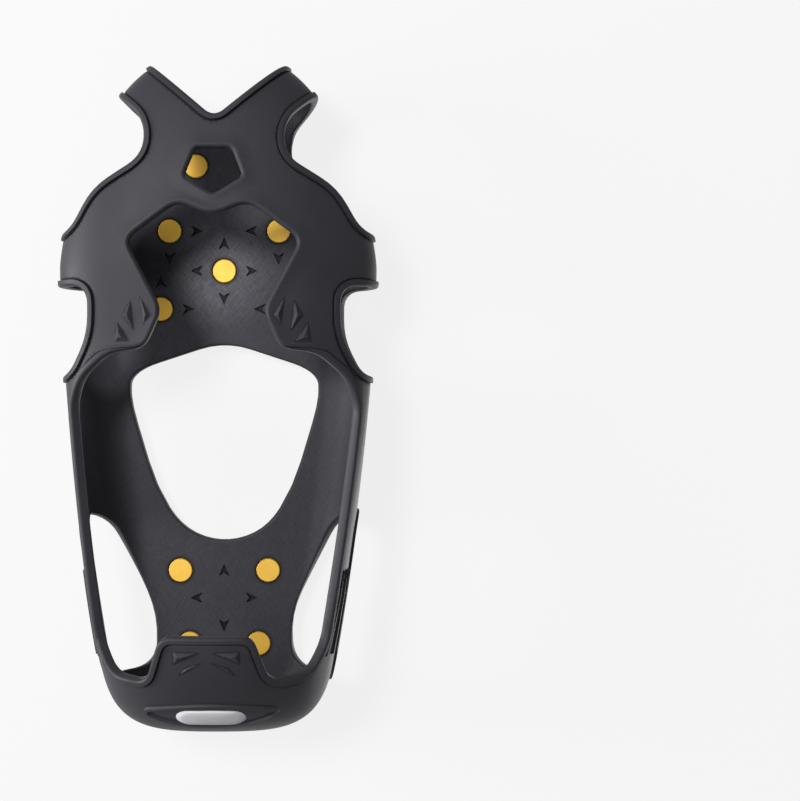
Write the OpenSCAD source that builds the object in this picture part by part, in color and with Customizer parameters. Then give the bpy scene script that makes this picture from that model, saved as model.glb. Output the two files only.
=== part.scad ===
// Slip-on ice cleat: a moulded rubber overshoe with riveted steel studs under the ball and the heel.
// X points to the right, Y to the toe and Z up. The studs' tips stand on Z = 0.
// The two ends are placed from the arch line, which lies close to the middle of the length.
// All other places along Y are set off from the front end, the rear end or the widest section.

/* [Overshoe form] */
// Half the width over the rims at the ball of the foot
ball_half = 52.2; // [44:0.1:60]
// Half the width at the front of the heel cup
heel_half = 39.5; // [34:0.1:46]
// Front end of the boot form, from the arch line
toe_y = 114.5; // [100:0.5:130]
// Rear end of the boot form, from the arch line
heel_y = -108; // [-124:0.5:-94]
// Widest section, behind the front end
ball_y = 71.5; // [62:0.5:80]
// Height of the fold, where the sides are widest, above the sole's underside
fold_h = 18.4; // [14:0.1:22]
// Height of the instep sheet above the sole's underside
instep_h = 38.4; // [32:0.1:48]
// Height of the heel tab above the sole's underside
tab_h = 54.6; // [48:0.1:66]
// Reach of the round between the sole and the sides
corner_reach = 17; // [12:0.5:22]
// Length of the heel cup, from the rear end
heel_cup_l = 30; // [24:0.5:36]
// Length over which the heel rounds in, from the rear end
heel_round_l = 38; // [30:0.5:44]
// Length over which the heel's top leans in, from the rear end
heel_lean_l = 48; // [38:0.5:56]
// Length over which the sole lifts at the heel, from the rear end
heel_lift_l = 22; // [16:0.5:28]
// Length over which the sole lifts at the toe, from the front end
toe_lift_l = 30; // [22:0.5:38]

/* [Rubber] */
// Thickness of the straps and side walls
wall_t = 2.6; // [2:0.1:3.6]
// Thickness of the sole plate
sole_t = 3.4; // [3:0.1:4.6]
// Width of the raised rim along an edge
rim_w = 2.6; // [1.5:0.1:4]
// Height of the raised rim and of the grip ribs
rim_h = 0.8; // [0.4:0.1:1.4]

/* [Toe straps] */
// Bottom of the V-shaped gap between the toe straps, behind the front end
toe_gap_y = 24.5; // [19:0.5:30]
// Width of the V-shaped gap for each millimetre of its depth
toe_gap_spread = 2.3; // [1.8:0.05:3]
// Width of one toe strap
toe_strap_w = 15; // [11:0.5:18]
// Half the width of the neck behind the toe straps
neck_half = 22.5; // [18:0.5:26]
// Narrowest point of the neck, behind the front end
neck_y = 34.5; // [29:0.5:40]
// Drop of the rear edge of the notch beside the neck
notch_drop = 2; // [0:0.5:4]
// Bulge of that edge at its middle
notch_bow = 3; // [0:0.5:5]
// Distance of that edge's rear corner inside the outline, so that the edge crosses the side wall squarely
notch_in = 4.4; // [3.6:0.1:7]

/* [Side straps and windows] */
// Front edge of the front side strap, ahead of the widest section
side_strap_front_y = 12.5; // [8:0.5:16]
// Rear edge of the front side strap, behind the widest section
side_strap_rear_y = 6.5; // [2:0.5:12]
// Half the distance between the edges of the two mid windows
mid_window_half = 40.5; // [36:0.5:46]
// Rear end of a mid window, behind the widest section
mid_window_rear_y = 37; // [32:0.5:42]
// Width of the strap from a wing down to the side band
wing_strap_w = 7.5; // [5:0.5:10]
// Front end of a rear window, ahead of the rear end
rear_window_front_y = 71; // [64:0.5:78]
// Rear end of a rear window, ahead of the rear end
rear_window_rear_y = 18; // [14:0.5:24]
// Half the width of the sole between the rear windows
waist_half = 22; // [19:0.5:27]
// Narrowest point of the waist, ahead of the rear end
waist_y = 36; // [30:0.5:42]
// Height of the rear windows above the sole's underside
rear_window_h = 20; // [16:0.5:26]

/* [Openings] */
// Middle of the throat's front edge, ahead of the widest section
throat_y = 15.5; // [11:0.5:20]
// Half the width of the throat at its front corners
throat_half = 28; // [22:0.5:32]
// Bulge of the throat's front edge beside its middle
throat_bow = 4.5; // [2:0.5:7]
// Drop from the middle of the front edge to the throat's corners
throat_drop = 7.5; // [4:0.5:11]
// Tips of the two wings, behind the widest section
wing_y = 14.5; // [9.5:0.5:19.5]
// Half the distance between the wings
wing_half = 16; // [12:0.5:20]
// Length of a wing behind its tip
wing_l = 12; // [9:0.5:15]
// Sweep of a wing's rear corner to the side
wing_sweep = 5.5; // [3:0.5:8]
// Distance of the topline inside the outline
topline_in = 3.2; // [2.4:0.1:5]
// Topline of the heel cup beside the tab, ahead of the rear end
heel_top_y = 21; // [16:0.5:26]
// Front edge of the heel tab, ahead of the rear end
tab_y = 36; // [30:0.5:42]
// Half the width of the heel tab
tab_half = 14.5; // [12:0.5:18]
// How much wider the tab is at its root, on each side
tab_flare = 5; // [2:0.5:8]
// Front end of the hole in the sole, behind the widest section
hole_front_y = 23; // [19:0.5:27]
// Rear end of the hole in the sole, ahead of the rear end
hole_rear_y = 60; // [55:0.5:66]
// Half the width of the hole in the sole
hole_half = 32; // [27:0.5:35]
// Middle of the five-sided window over the toes, ahead of the throat's front edge
window_y = 15; // [13:0.5:18]
// Distance from the middle of that window to its rear corner
window_r = 8.4; // [6:0.1:10]
// Half the width of that window
window_half = 9.4; // [7:0.1:11]

/* [Corners] */
// Reach of the rounding at the toe gap and at the throat
throat_round = 4; // [2:0.5:6]
// Reach of the rounding at the notches and the mid windows
notch_round = 6; // [3:0.5:9]
// Reach of the rounding at the hole in the sole and the rear windows
hole_round = 9; // [5:0.5:13]
// Reach of the rounding at the window over the toes
window_round = 1.6; // [0.8:0.1:3]
// Reach of the rounding at the tread fields
field_round = 2; // [1:0.5:4]

/* [Grip ribs] */
// Length of the longest wedge rib on a wing, from the middle of its fan
wing_rib_l = 14; // [10:0.5:18]
// Length of a wedge rib on the heel tab, from the middle of its fan
tab_rib_l = 10.5; // [8:0.1:13]
// Middle of the tab's fan of ribs, behind the tab's front edge
tab_rib_in = 7; // [5:0.5:10]
// Length of the ribs along a heel strap
strap_rib_l = 36; // [24:1:44]
// Width of a rib on a heel strap
strap_rib_w = 1.6; // [1:0.1:2.4]
// Spacing of the ribs at their front ends, which widens to the rear
strap_rib_step = 3.2; // [2.6:0.1:4]

/* [Tread] */
// Spacing of the tread blocks across the sole
tread_step_x = 5.45; // [5:0.05:7]
// Spacing of the tread rows along the sole
tread_step_y = 4.3; // [4:0.05:6]
// Width of a tread block over its corners
block_w = 6; // [4:0.1:6.5]
// Depth of the tread's floor above the sole's underside
tread_in = 1.2; // [0.6:0.1:1.8]
// Height of the tread blocks below the sole's underside
block_out = 0.7; // [0.3:0.1:1]
// Room between the blocks and the edge of their field
block_edge = 0.6; // [0.3:0.1:1.2]
// Diameter of the small dots between the blocks
dot_d = 1.9; // [1.4:0.1:2.4]
// Depth of the dots' tips above the sole's underside
dot_in = 0.3; // [0.1:0.1:0.6]
// Half the width of the field under the ball
ball_field_half = 34.5; // [30:0.5:38]
// Half the width of the field under the heel
heel_field_half = 28; // [24:0.5:30]
// Distance of the fields from the toe gap and from the hole in the sole
field_edge = 3; // [2:0.5:5]
// Rear end of the field under the heel, ahead of the rear end
heel_field_y = 11; // [8:0.5:15]

/* [Insole marks] */
// Length of an arrowhead sunk in the insole
arrow_l = 4.4; // [3:0.2:5.4]
// Width of an arrowhead
arrow_w = 4; // [3:0.2:5]
// Depth of an arrowhead
arrow_in = 0.6; // [0.3:0.1:1]
// Distance of an arrowhead from the stud that it points away from
arrow_reach = 9.2; // [8:0.1:10.4]

/* [Studs] */
// Diameter of the stud's head on the insole
head_d = 8; // [7:0.1:10]
// Thickness of the head
head_t = 1.2; // [0.8:0.1:1.6]
// Diameter of the shank through the sole
shank_d = 5.2; // [4.6:0.1:6]
// Diameter of the collar under the sole
collar_d = 8.2; // [7:0.1:10]
// Thickness of the collar
collar_t = 1.6; // [1:0.1:2]
// How far the collar stands below the boss
collar_out = 0.2; // [0.1:0.1:0.6]
// Bevel on the edges of the head and the collar
stud_bevel = 0.3; // [0.1:0.05:0.5]
// Diameter of the steel spike
spike_d = 3.8; // [2.6:0.1:4]
// Length of the steel spike
spike_l = 4.6; // [4:0.1:5.2]
// How far the spike's tip stands below the boss
spike_out = 2.4; // [1.6:0.1:3]
// Bevel around the spike's tip
spike_bevel = 0.35; // [0.2:0.05:0.5]
// Depth of the cup in the spike's tip
spike_cup = 0.6; // [0.3:0.1:1]
// Diameter of the rubber boss around a stud
boss_d = 13.8; // [11:0.1:16]
// How far the boss stands below the sole's underside
boss_out = 1.2; // [0.6:0.1:1.8]
// Radial room between a stud and the rubber, and between the stud's own pieces
fit_gap = 0.1; // [0.05:0.01:0.2]

/* [Stud places] */
// Toe studs, from the middle line
toe_stud_x = 9.5; // [7:0.1:12]
// Toe studs, behind the front end
toe_stud_y = 35.8; // [32:0.1:39]
// Ball studs, from the middle line
ball_stud_x = 18.3; // [15:0.1:22]
// Ball studs, ahead of the widest section
ball_stud_y = 13.9; // [11:0.1:17]
// Centre stud, ahead of the widest section
center_stud_y = 0.5; // [-3:0.1:4]
// Arch studs, from the middle line
arch_stud_x = 21.2; // [18:0.1:25]
// Arch studs, behind the widest section
arch_stud_y = 12.3; // [9:0.1:15]
// Front heel studs, from the middle line
heel_front_stud_x = 14.7; // [12:0.1:17]
// Front heel studs, ahead of the rear end
heel_front_stud_y = 51; // [48:0.1:53]
// Rear heel studs, from the middle line
heel_rear_stud_x = 11.5; // [9:0.1:14]
// Rear heel studs, ahead of the rear end
heel_rear_stud_y = 26.4; // [23:0.1:30]

/* [Heel badge] */
// Length of the oval plate on the back of the heel
badge_w = 22; // [16:0.5:26]
// Height of the oval plate
badge_h = 8.4; // [6:0.1:10]
// How deep the plate sits in the rubber
badge_in = 0.9; // [0.5:0.1:1.2]
// How far the plate stands out of the rubber
badge_out = 0.5; // [0.2:0.1:1]
// Length of the raised frame around the plate
frame_w = 43; // [36:0.5:48]
// Height of the raised frame
frame_h = 14; // [12:0.5:18]
// Width of the frame's raised rim
frame_rim = 1.8; // [1.2:0.1:2.4]
// Round at the two ends of the frame
frame_round = 3; // [2:0.5:4]
// Middle of the plate on the heel's slope, ahead of the rear end
badge_y = 8.5; // [6:0.5:12]

/* [Hidden] */
far = 3 * (toe_y - heel_y);

// Heights above the ground
sole_z = spike_out + boss_out;
insole_z = sole_z + sole_t;
tread_z = sole_z + tread_in;
block_z = sole_z - block_out;
boss_z = spike_out;
collar_z = boss_z - collar_out;
fold_z = sole_z + fold_h;
rim_z = sole_z - rim_h;
rear_window_z = sole_z + rear_window_h;

// Places from the arch line
ball_at = toe_y - ball_y;
toe_gap_at = toe_y - toe_gap_y;
neck_at = toe_y - neck_y;
strap_front_at = ball_at + side_strap_front_y;
strap_rear_at = ball_at - side_strap_rear_y;
mid_rear_at = ball_at - mid_window_rear_y;
throat_at = ball_at + throat_y;
wing_at = ball_at - wing_y;
window_at = throat_at + window_y;
hole_front_at = ball_at - hole_front_y;
hole_rear_at = heel_y + hole_rear_y;
waist_at = heel_y + waist_y;
rear_front_at = heel_y + rear_window_front_y;
rear_rear_at = heel_y + rear_window_rear_y;
heel_top_at = heel_y + heel_top_y;
tab_at = heel_y + tab_y;
badge_at = heel_y + badge_y;

// Steps of the boot form along its length and around half a section, turn of a rounded corner, sides of a dot
stations = 30;
ring_flat = 2;
ring_corner = 4;
ring_upper = 7;
corner_turn = 30;
dot_sides = 4;

// Fades from 1 to 0 as s goes from 0 to 1, level at the start and steep at the end
function ease(s, p, q) = s <= 0 ? 1 : s >= 1 ? 0 : pow(1 - pow(s, p), 1 / q);
function toe_ease(y, length, p, q) = ease(1 - (toe_y - y) / length, p, q);
function heel_ease(y, length, p, q) = ease(1 - (y - heel_y) / length, p, q);

// Half width of the boot form
heel_cup_at = heel_y + heel_cup_l;
function taper(y) = ball_half - (ball_half - heel_half) * pow((ball_at - y) / (ball_at - heel_cup_at), 1.6);
function half_w(y) = y > ball_at
    ? ball_half * toe_ease(y, ball_y, 1.4, 2.6)
    : taper(y) * heel_ease(y, heel_round_l, 5, 3.5);

// Top and bottom of the boot form, level in the middle and closing on the fold at both ends
function rise(y) = min(1, max(0, (hole_front_at - y) / (hole_front_at - tab_at)));
function crest(y) = sole_z + instep_h + (tab_h - instep_h) * pow(rise(y), 2) * (3 - 2 * rise(y));
function top_z(y) = fold_z
    + (crest(y) - fold_z) * toe_ease(y, ball_y, 1.4, 2.6) * heel_ease(y, heel_lean_l, 2.4, 2);
function bottom_z(y) = fold_z
    - (fold_z - rim_z) * toe_ease(y, toe_lift_l, 2.2, 2) * heel_ease(y, heel_lift_l, 2.2, 2);
function corner(y) = min(corner_reach, half_w(y) * 0.7);
upper_power = 2.4;

// Points of the right half of one section, from the middle of the sole to the middle of the top
function half_ring(y) = let (w = half_w(y), c = corner(y), b = bottom_z(y), t = top_z(y)) concat(
    [for (i = [0:ring_flat]) [(w - c) * i / ring_flat, y, b]],
    [for (i = [1:ring_corner]) let (a = 90 * i / ring_corner)
        [w - c + c * sin(a), y, fold_z - (fold_z - b) * cos(a)]],
    [for (i = [1:ring_upper]) let (a = 90 * i / ring_upper)
        [w * pow(cos(a), 2 / upper_power), y, fold_z + (t - fold_z) * pow(sin(a), 2 / upper_power)]]
);

// How far a point lies outside the boot form, as a share of the form's own size
function level(p) = let (x = abs(p[0]), y = p[1], z = p[2], w = half_w(y), c = corner(y))
    z > fold_z
    ? pow(pow(x / w, upper_power) + pow((z - fold_z) / (top_z(y) - fold_z), upper_power), 1 / upper_power)
    : norm([max(0, x - w + c) / c, (fold_z - z) / (fold_z - bottom_z(y))]);

// Outward direction of the boot form's surface at a point
probe = 0.02;
function slope(p, d) = level(p + d * probe) - level(p - d * probe);
function outward(p) = let (n = [slope(p, [1, 0, 0]), slope(p, [0, 1, 0]), slope(p, [0, 0, 1])]) n / norm(n);

// A point at a depth under the rims' surface; the sole is thicker than the walls
function sunk(p, depth, extra) = let (n = outward(p)) p - n * (depth + extra * pow(max(0, -n[2]), 2));

// Closed skin at a depth under the rims' surface
module skin(depth, extra = 0) {
    half = [for (i = [0:stations])
        let (y = heel_y + (toe_y - heel_y) * (0.004 + 0.992 * (1 - cos(180 * i / stations)) / 2))
        [for (p = half_ring(y)) sunk(p, depth, extra)]];
    last = len(half[0]) - 1;
    rings = [for (h = half) concat(h, [for (k = [last - 1:-1:1]) [-h[k][0], h[k][1], h[k][2]]])];
    n = len(rings[0]);
    faces = concat(
        [[for (k = [n - 1:-1:0]) k]],
        [for (i = [0:stations - 1]) for (k = [0:n - 1]) let (a = i * n + k, b = i * n + (k + 1) % n)
            each [[a, b, a + n], [b, b + n, a + n]]],
        [[for (k = [0:n - 1]) stations * n + k]]
    );
    polyhedron([for (r = rings) each r], faces, convexity = 6);
}

// Outline that is the same on both sides, from the points of its right half
function both_sides(points) = concat(points,
    [for (i = [len(points) - 1:-1:0]) if (points[i][0] > 0) [-points[i][0], points[i][1]]]);

// Points given as shares of a half width and of a stretch along Y
function spread(shares, half, low, high) = [for (s = shares) [half * s[0], low + (high - low) * s[1]]];

// Outline with its corners rounded off by curves that start at most reach before each corner
function turn(back, ahead) = acos(max(-1, min(1, -back * ahead / norm(back) / norm(ahead))));
function softened(points, reach) = let (n = len(points)) [for (i = [0:n - 1])
    let (p = points[i], back = points[(i + n - 1) % n] - p, ahead = points[(i + 1) % n] - p)
    let (a = p + back * min(0.5, reach / norm(back)), b = p + ahead * min(0.5, reach / norm(ahead)))
    let (steps = max(1, ceil(turn(back, ahead) / corner_turn)))
    for (k = [0:steps]) let (t = k / steps) a * pow(1 - t, 2) + p * 2 * t * (1 - t) + b * pow(t, 2)];

module pair() {
    children();
    mirror([1, 0, 0]) children();
}

// Gaps that go through the instep sheet and the sole alike, seen from above
module toe_gap() {
    reach = toe_gap_y + rim_w;
    polygon(softened(both_sides([
        [0, toe_gap_at], [reach * toe_gap_spread / 2, toe_gap_at + reach]
    ]), throat_round));
}

module toe_notch() {
    strap = [toe_gap_spread / 2, 1] / norm([toe_gap_spread / 2, 1]);
    across = [strap[1], -strap[0]];
    edge = [0, toe_gap_at] + across * toe_strap_w;
    reach = (neck_half - edge[0]) / strap[0];
    middle = ([ball_half, strap_front_at] + [neck_half, neck_at]) / 2 + notch_bow * [1, 1] / norm([1, 1]);
    polygon(softened([
        edge + strap * reach, edge + strap * far, [far, far], [far, strap_front_at],
        [ball_half - notch_in, strap_front_at - notch_drop], middle - [0, notch_drop],
        [neck_half, neck_at - notch_drop]
    ], notch_round));
}

module mid_window() {
    polygon(softened([
        [mid_window_half, strap_rear_at], [far, strap_rear_at], [far, mid_rear_at],
        [half_w(mid_rear_at) - rim_w, mid_rear_at + rim_w / 2],
        [mid_window_half, mid_rear_at + 2 * wing_strap_w]
    ], notch_round));
}

// Openings of the instep sheet
module throat() {
    topline_step = wing_strap_w;
    polygon(softened(both_sides(concat(
        [[0, throat_at], [throat_half * 0.4, throat_at + throat_bow], [throat_half, throat_at - throat_drop],
         [wing_half, wing_at], [wing_half + wing_sweep, wing_at - wing_l],
         [mid_window_half - wing_strap_w, wing_at - wing_l * 1.1],
         [half_w(mid_rear_at) - wing_strap_w, mid_rear_at + rim_w / 2]],
        [for (y = [mid_rear_at - wing_strap_w:-topline_step:heel_top_at + topline_step])
            [half_w(y) - topline_in, y]],
        [[half_w(heel_top_at) - 2 * topline_in, heel_top_at + topline_in / 2],
         [tab_half + tab_flare, heel_top_at], [tab_half, tab_at], [0, tab_at]]
    )), throat_round));
}

module toe_window() {
    polygon(softened([for (i = [0:4]) [0, window_at]
        + [window_half * sin(72 * i) / sin(72), -window_r * cos(72 * i)]], window_round));
}

// Openings of the sole
hole_shares = [[0, 1], [0.97, 0.85], [1, 0.72], [0.72, 0.28], [0.44, 0.07], [0, 0]];
module sole_hole() {
    polygon(softened(both_sides(spread(hole_shares, hole_half, hole_rear_at, hole_front_at)), hole_round));
}

module rear_window() {
    polygon(softened([
        [far, rear_front_at], [half_w(rear_front_at) - 2 * rim_w, rear_front_at],
        [waist_half, waist_at], [waist_half * 1.09, rear_rear_at], [far, rear_rear_at]
    ], hole_round));
}

// The rear window seen from the side, under the heel strap
module rear_window_side() {
    polygon(softened([
        [rear_front_at, -far], [rear_front_at, rear_window_z],
        [rear_rear_at, rear_window_z], [rear_rear_at, -far]
    ], hole_round));
}

// Prisms between two heights, over the outline widened by grow
module through(grow, low, high) {
    translate([0, 0, low]) linear_extrude(high - low) offset(delta = grow) children();
}

// Prism from side to side over an outline that is drawn as Y and Z
module across(grow = 0) {
    rotate([90, 0, 90]) linear_extrude(far, center = true) offset(delta = grow) children();
}

// Room behind the side walls that the throat's cut spares, so that the walls are thick up to their topline
function topline_z(y) = fold_z
    + (top_z(y) - fold_z) * pow(1 - pow(1 - topline_in / half_w(y), upper_power), 1 / upper_power);
module topline_foot() {
    edge = [for (y = [mid_rear_at, rear_front_at, waist_at, heel_top_at]) [y, topline_z(y) - wall_t / 2]];
    across() polygon(concat(edge, [[heel_top_at, sole_z], [mid_rear_at, sole_z]]));
}

module gaps(grow) {
    through(grow, -far, far) toe_gap();
    through(grow, -far, far) pair() toe_notch();
    through(grow, -far, far) pair() mid_window();
    difference() {
        through(grow, fold_z, far) throat();
        if (grow == 0) topline_foot();
    }
    through(grow, fold_z, far) toe_window();
    through(grow, -far, fold_z) sole_hole();
    intersection() {
        through(grow, -far, far) pair() rear_window();
        across(grow) rear_window_side();
    }
}

// Rims along the gaps; the front of the throat and the window over the toes have plain edges
module rims() {
    window_front_at = window_at + window_r + rim_w;
    difference() {
        gaps(rim_w);
        translate([-throat_half - 2 * rim_w, wing_at - wing_l, fold_z])
            cube([2 * throat_half + 4 * rim_w, throat_at + throat_bow + rim_w - wing_at + wing_l, far]);
        translate([-window_half - rim_w, throat_at, fold_z])
            cube([2 * window_half + 2 * rim_w, window_front_at - throat_at, far]);
    }
}

// Wedges around a middle; each corner has its direction from the toe and its share of the length
wing_wedges = [[[-28, 0.67], [-3, 1], [-19, 0.41]], [[10, 0.94], [32, 0.69], [20, 0.26]],
    [[48, 0.64], [90, 0.55], [90, 0.18]]];
tab_wedges = [[[49, 0.29], [77, 1], [99, 0.98]], [[128, 0.21], [114, 0.7], [122, 0.97]]];
module fan(middle, length, wedges) {
    for (w = wedges) polygon([for (c = w) middle + length * c[1] * [sin(c[0]), cos(c[0])]]);
}

// Raised ribs on the wings, on the heel tab and along the heel straps
module ribs() {
    through(0, fold_z, far) pair() {
        fan([wing_half + wing_sweep, wing_at - wing_l] + 0.8 * [rim_w, rim_w], wing_rib_l, wing_wedges);
        fan([0, tab_at - tab_rib_in], tab_rib_l, tab_wedges);
    }
    across() for (i = [0:2]) {
        front = [tab_at + strap_rib_l / 2, rear_window_z + rim_w + strap_rib_step * (i + 0.5)];
        rear = [tab_at - strap_rib_l / 4, rear_window_z + strap_rib_step * (1 + 1.6 * i)];
        polygon([front, rear, rear + [0, strap_rib_w], front + [0, strap_rib_w / 2]]);
    }
}

// Sunk fields of the sole that carry the tread blocks
ball_field = softened(both_sides(spread([[0, 1], [0.2, 1.02], [0.49, 0.95], [0.7, 0.72], [1, 0.55],
    [0.9, 0.44], [0.93, 0.02], [0.55, -0.06], [0, 0]],
    ball_field_half, hole_front_at + field_edge, toe_gap_at - field_edge)), field_round);
heel_field = softened(both_sides(spread([[0, 1], [0.5, 1.13], [1, 1.12], [0.64, 0.55], [0.71, 0.24],
    [0.29, 0.02], [0, 0]],
    heel_field_half, heel_y + heel_field_y, hole_rear_at - field_edge)), field_round);

// Whether a point lies inside an outline, from the sides of the outline that a ray to the right meets
function meets(p, a, b) = (a[1] > p[1]) != (b[1] > p[1])
    && p[0] < a[0] + (b[0] - a[0]) * (p[1] - a[1]) / (b[1] - a[1]);
function inside(p, points) = let (n = len(points))
    len([for (i = [0:n - 1]) if (meets(p, points[i], points[(i + 1) % n])) i]) % 2 == 1;
function corners_at(p, r) = [for (k = [0:5]) p + (r + block_edge) * [sin(60 * k), cos(60 * k)]];
function holds(p, r) = len([for (field = [ball_field, heel_field])
    if (len([for (c = corners_at(p, r)) if (inside(c, field)) c]) == 6) field]) > 0;
function clear_of_studs(p, r) = min([for (s = stud_places) norm(p - s[1])]) > boss_d / 2 + r;

// Places of the staggered tread rows; the blocks take the even ones and the dots the odd ones
columns = ceil(ball_half / tread_step_x);
tread_places = [for (i = [-columns:columns]) for (j = [floor(heel_y / tread_step_y):ceil(toe_y / tread_step_y)])
    [i * tread_step_x, j * tread_step_y, (i + j) % 2]];

// Six-sided blocks, each whole and inside its field
module tread_blocks() {
    for (t = tread_places) let (p = [t[0], t[1]]) if (t[2] == 0 && holds(p, block_w / 2))
        translate(p) rotate(30) circle(d = block_w, $fn = 6);
}

module tread_dots() {
    for (t = tread_places) let (p = [t[0], t[1]])
        if (t[2] != 0 && holds(p, dot_d / 2) && clear_of_studs(p, dot_d))
            translate(p) rotate(30) circle(d = dot_d, $fn = dot_sides);
}

// Arrowheads of the insole, each with its direction from the toe
heel_mark_at = heel_y + heel_front_stud_y - arrow_reach;
function arrows(p, turns) = [for (a = turns) [p + arrow_reach * [sin(a), cos(a)], a]];
arrow_places = concat(
    arrows([0, ball_at + center_stud_y], [0, 90, 180, 270]),
    arrows([0, heel_mark_at], [0, 90, 180, 270]),
    arrows([ball_stud_x, ball_at + ball_stud_y], [180, 270]),
    arrows([-ball_stud_x, ball_at + ball_stud_y], [180, 90]),
    arrows([arch_stud_x, ball_at - arch_stud_y], [0, 270]),
    arrows([-arch_stud_x, ball_at - arch_stud_y], [0, 90])
);
module insole_arrows() {
    for (a = arrow_places) translate(a[0]) rotate(-a[1])
        polygon([[0, arrow_l / 2], [arrow_w / 2, -arrow_l / 2], [0, -arrow_l / 5], [-arrow_w / 2, -arrow_l / 2]]);
}

// Oval of the badge, and the eye-shaped frame around it
module oval(w, h) {
    hull() pair() translate([(w - h) / 2, 0]) circle(d = h, $fn = 36);
}

module eye(w, h, end_r) {
    long = w - 2 * end_r;
    high = h - 2 * end_r;
    r = (long * long + high * high) / (4 * high);
    offset(r = end_r, $fn = 24)
        intersection_for (s = [-1, 1]) translate([0, s * (r - high / 2)]) circle(r = r, $fn = 96);
}

module badge_frame() {
    difference() {
        eye(frame_w, frame_h, frame_round);
        eye(frame_w - 2 * frame_rim, frame_h - 2 * frame_rim, frame_round - frame_rim / 2);
    }
}

// Stands an outline on the slope of the heel's back
module on_heel_back() {
    lean = atan((top_z(badge_at + probe) - top_z(badge_at - probe)) / (2 * probe));
    translate([0, badge_at, top_z(badge_at)]) rotate([lean, 0, 0])
        linear_extrude(frame_h, center = true) children();
}

// Skin with its raised rims, ribs and badge frame, and with the sunk fields of the tread
module rimmed_skin() {
    difference() {
        union() {
            skin(rim_h);
            intersection() {
                skin(0);
                union() {
                    rims();
                    ribs();
                    on_heel_back() badge_frame();
                }
            }
        }
        for (field = [ball_field, heel_field])
            translate([0, 0, -far]) linear_extrude(far + tread_z) polygon(field);
    }
}

// The moulded body with its tread blocks and bosses, hollow inside, before the studs are let in
module moulding() {
    difference() {
        union() {
            rimmed_skin();
            translate([0, 0, block_z]) linear_extrude(fold_z - block_z) tread_blocks();
            translate([0, 0, sole_z + dot_in]) linear_extrude(fold_z - sole_z) tread_dots();
            for (p = stud_places) translate([p[1][0], p[1][1], boss_z])
                cylinder(d = boss_d, h = fold_z - boss_z, $fn = 24);
        }
        skin(rim_h + wall_t, sole_t - wall_t);
        gaps(0);
        on_heel_back() oval(badge_w + 2 * fit_gap, badge_h + 2 * fit_gap);
        translate([0, 0, insole_z - arrow_in]) linear_extrude(sole_t) insole_arrows();
    }
    difference() {
        intersection() {
            skin(rim_h + badge_in);
            on_heel_back() oval(badge_w + badge_in, badge_h + badge_in);
        }
        skin(rim_h + wall_t, sole_t - wall_t);
    }
}

// Room for one stud: head pocket, shank hole and collar pocket
module stud_room() {
    translate([0, 0, insole_z - head_t]) cylinder(d = head_d + 2 * fit_gap, h = 2 * head_t, $fn = 48);
    translate([0, 0, collar_z]) cylinder(d = shank_d + 2 * fit_gap, h = insole_z - collar_z, $fn = 48);
    translate([0, 0, collar_z - collar_t]) cylinder(d = collar_d + 2 * fit_gap, h = 2 * collar_t, $fn = 48);
}

module rubber_overshoe() {
    color("#37363b") difference() {
        resize([0, 0, 0]) moulding();
        for (p = stud_places) translate(p[1]) stud_room();
    }
}

module heel_reflector() {
    color("#b9b9bc") resize([0, 0, 0]) difference() {
        intersection() {
            skin(rim_h - badge_out);
            on_heel_back() oval(badge_w, badge_h);
        }
        skin(rim_h + badge_in);
    }
}

// Rivet head on the insole with its shank, which is bored for the spike
module stud_head() {
    color("#dcb758") rotate_extrude($fn = 48) polygon([
        [0, insole_z], [head_d / 2 - stud_bevel, insole_z], [head_d / 2, insole_z - stud_bevel],
        [head_d / 2, insole_z - head_t], [shank_d / 2, insole_z - head_t],
        [shank_d / 2, collar_z], [shank_d / 2 - stud_bevel, collar_z - stud_bevel],
        [spike_d / 2 + fit_gap, collar_z - stud_bevel], [spike_d / 2 + fit_gap, spike_l], [0, spike_l]
    ]);
}

module stud_collar() {
    color("#dcb758") rotate_extrude($fn = 48) polygon([
        [shank_d / 2 + fit_gap, collar_z], [collar_d / 2 - stud_bevel, collar_z],
        [collar_d / 2, collar_z + stud_bevel], [collar_d / 2, collar_z + collar_t],
        [shank_d / 2 + fit_gap, collar_z + collar_t]
    ]);
}

// Hard steel pin with a cupped end
module stud_spike() {
    color("#d8dade") rotate_extrude($fn = 48) polygon([
        [0, spike_cup], [spike_d / 4, spike_cup * 0.75], [spike_d / 2 - spike_bevel * 1.6, 0],
        [spike_d / 2 - spike_bevel, 0], [spike_d / 2, spike_bevel], [spike_d / 2, spike_l], [0, spike_l]
    ]);
}

// Each stud's name and place on the sole
function both_studs(name, x, y) = [[str(name, "_left"), [-x, y]], [str(name, "_right"), [x, y]]];
stud_places = concat(
    both_studs("toe", toe_stud_x, toe_y - toe_stud_y),
    both_studs("ball", ball_stud_x, ball_at + ball_stud_y),
    [["ball_center", [0, ball_at + center_stud_y]]],
    both_studs("arch", arch_stud_x, ball_at - arch_stud_y),
    both_studs("heel_front", heel_front_stud_x, heel_y + heel_front_stud_y),
    both_studs("heel_rear", heel_rear_stud_x, heel_y + heel_rear_stud_y)
);

// The middle of the finished length is the origin; the cut toe straps end a little behind the form's front
toe_trim = 3.9;
mid_y = (toe_y - toe_trim + heel_y) / 2;

translate([0, -mid_y, 0]) {
    rubber_overshoe();
    heel_reflector();
    for (p = stud_places) translate(p[1]) {
        stud_head();
        stud_collar();
        stud_spike();
    }
}
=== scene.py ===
import math

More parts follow.
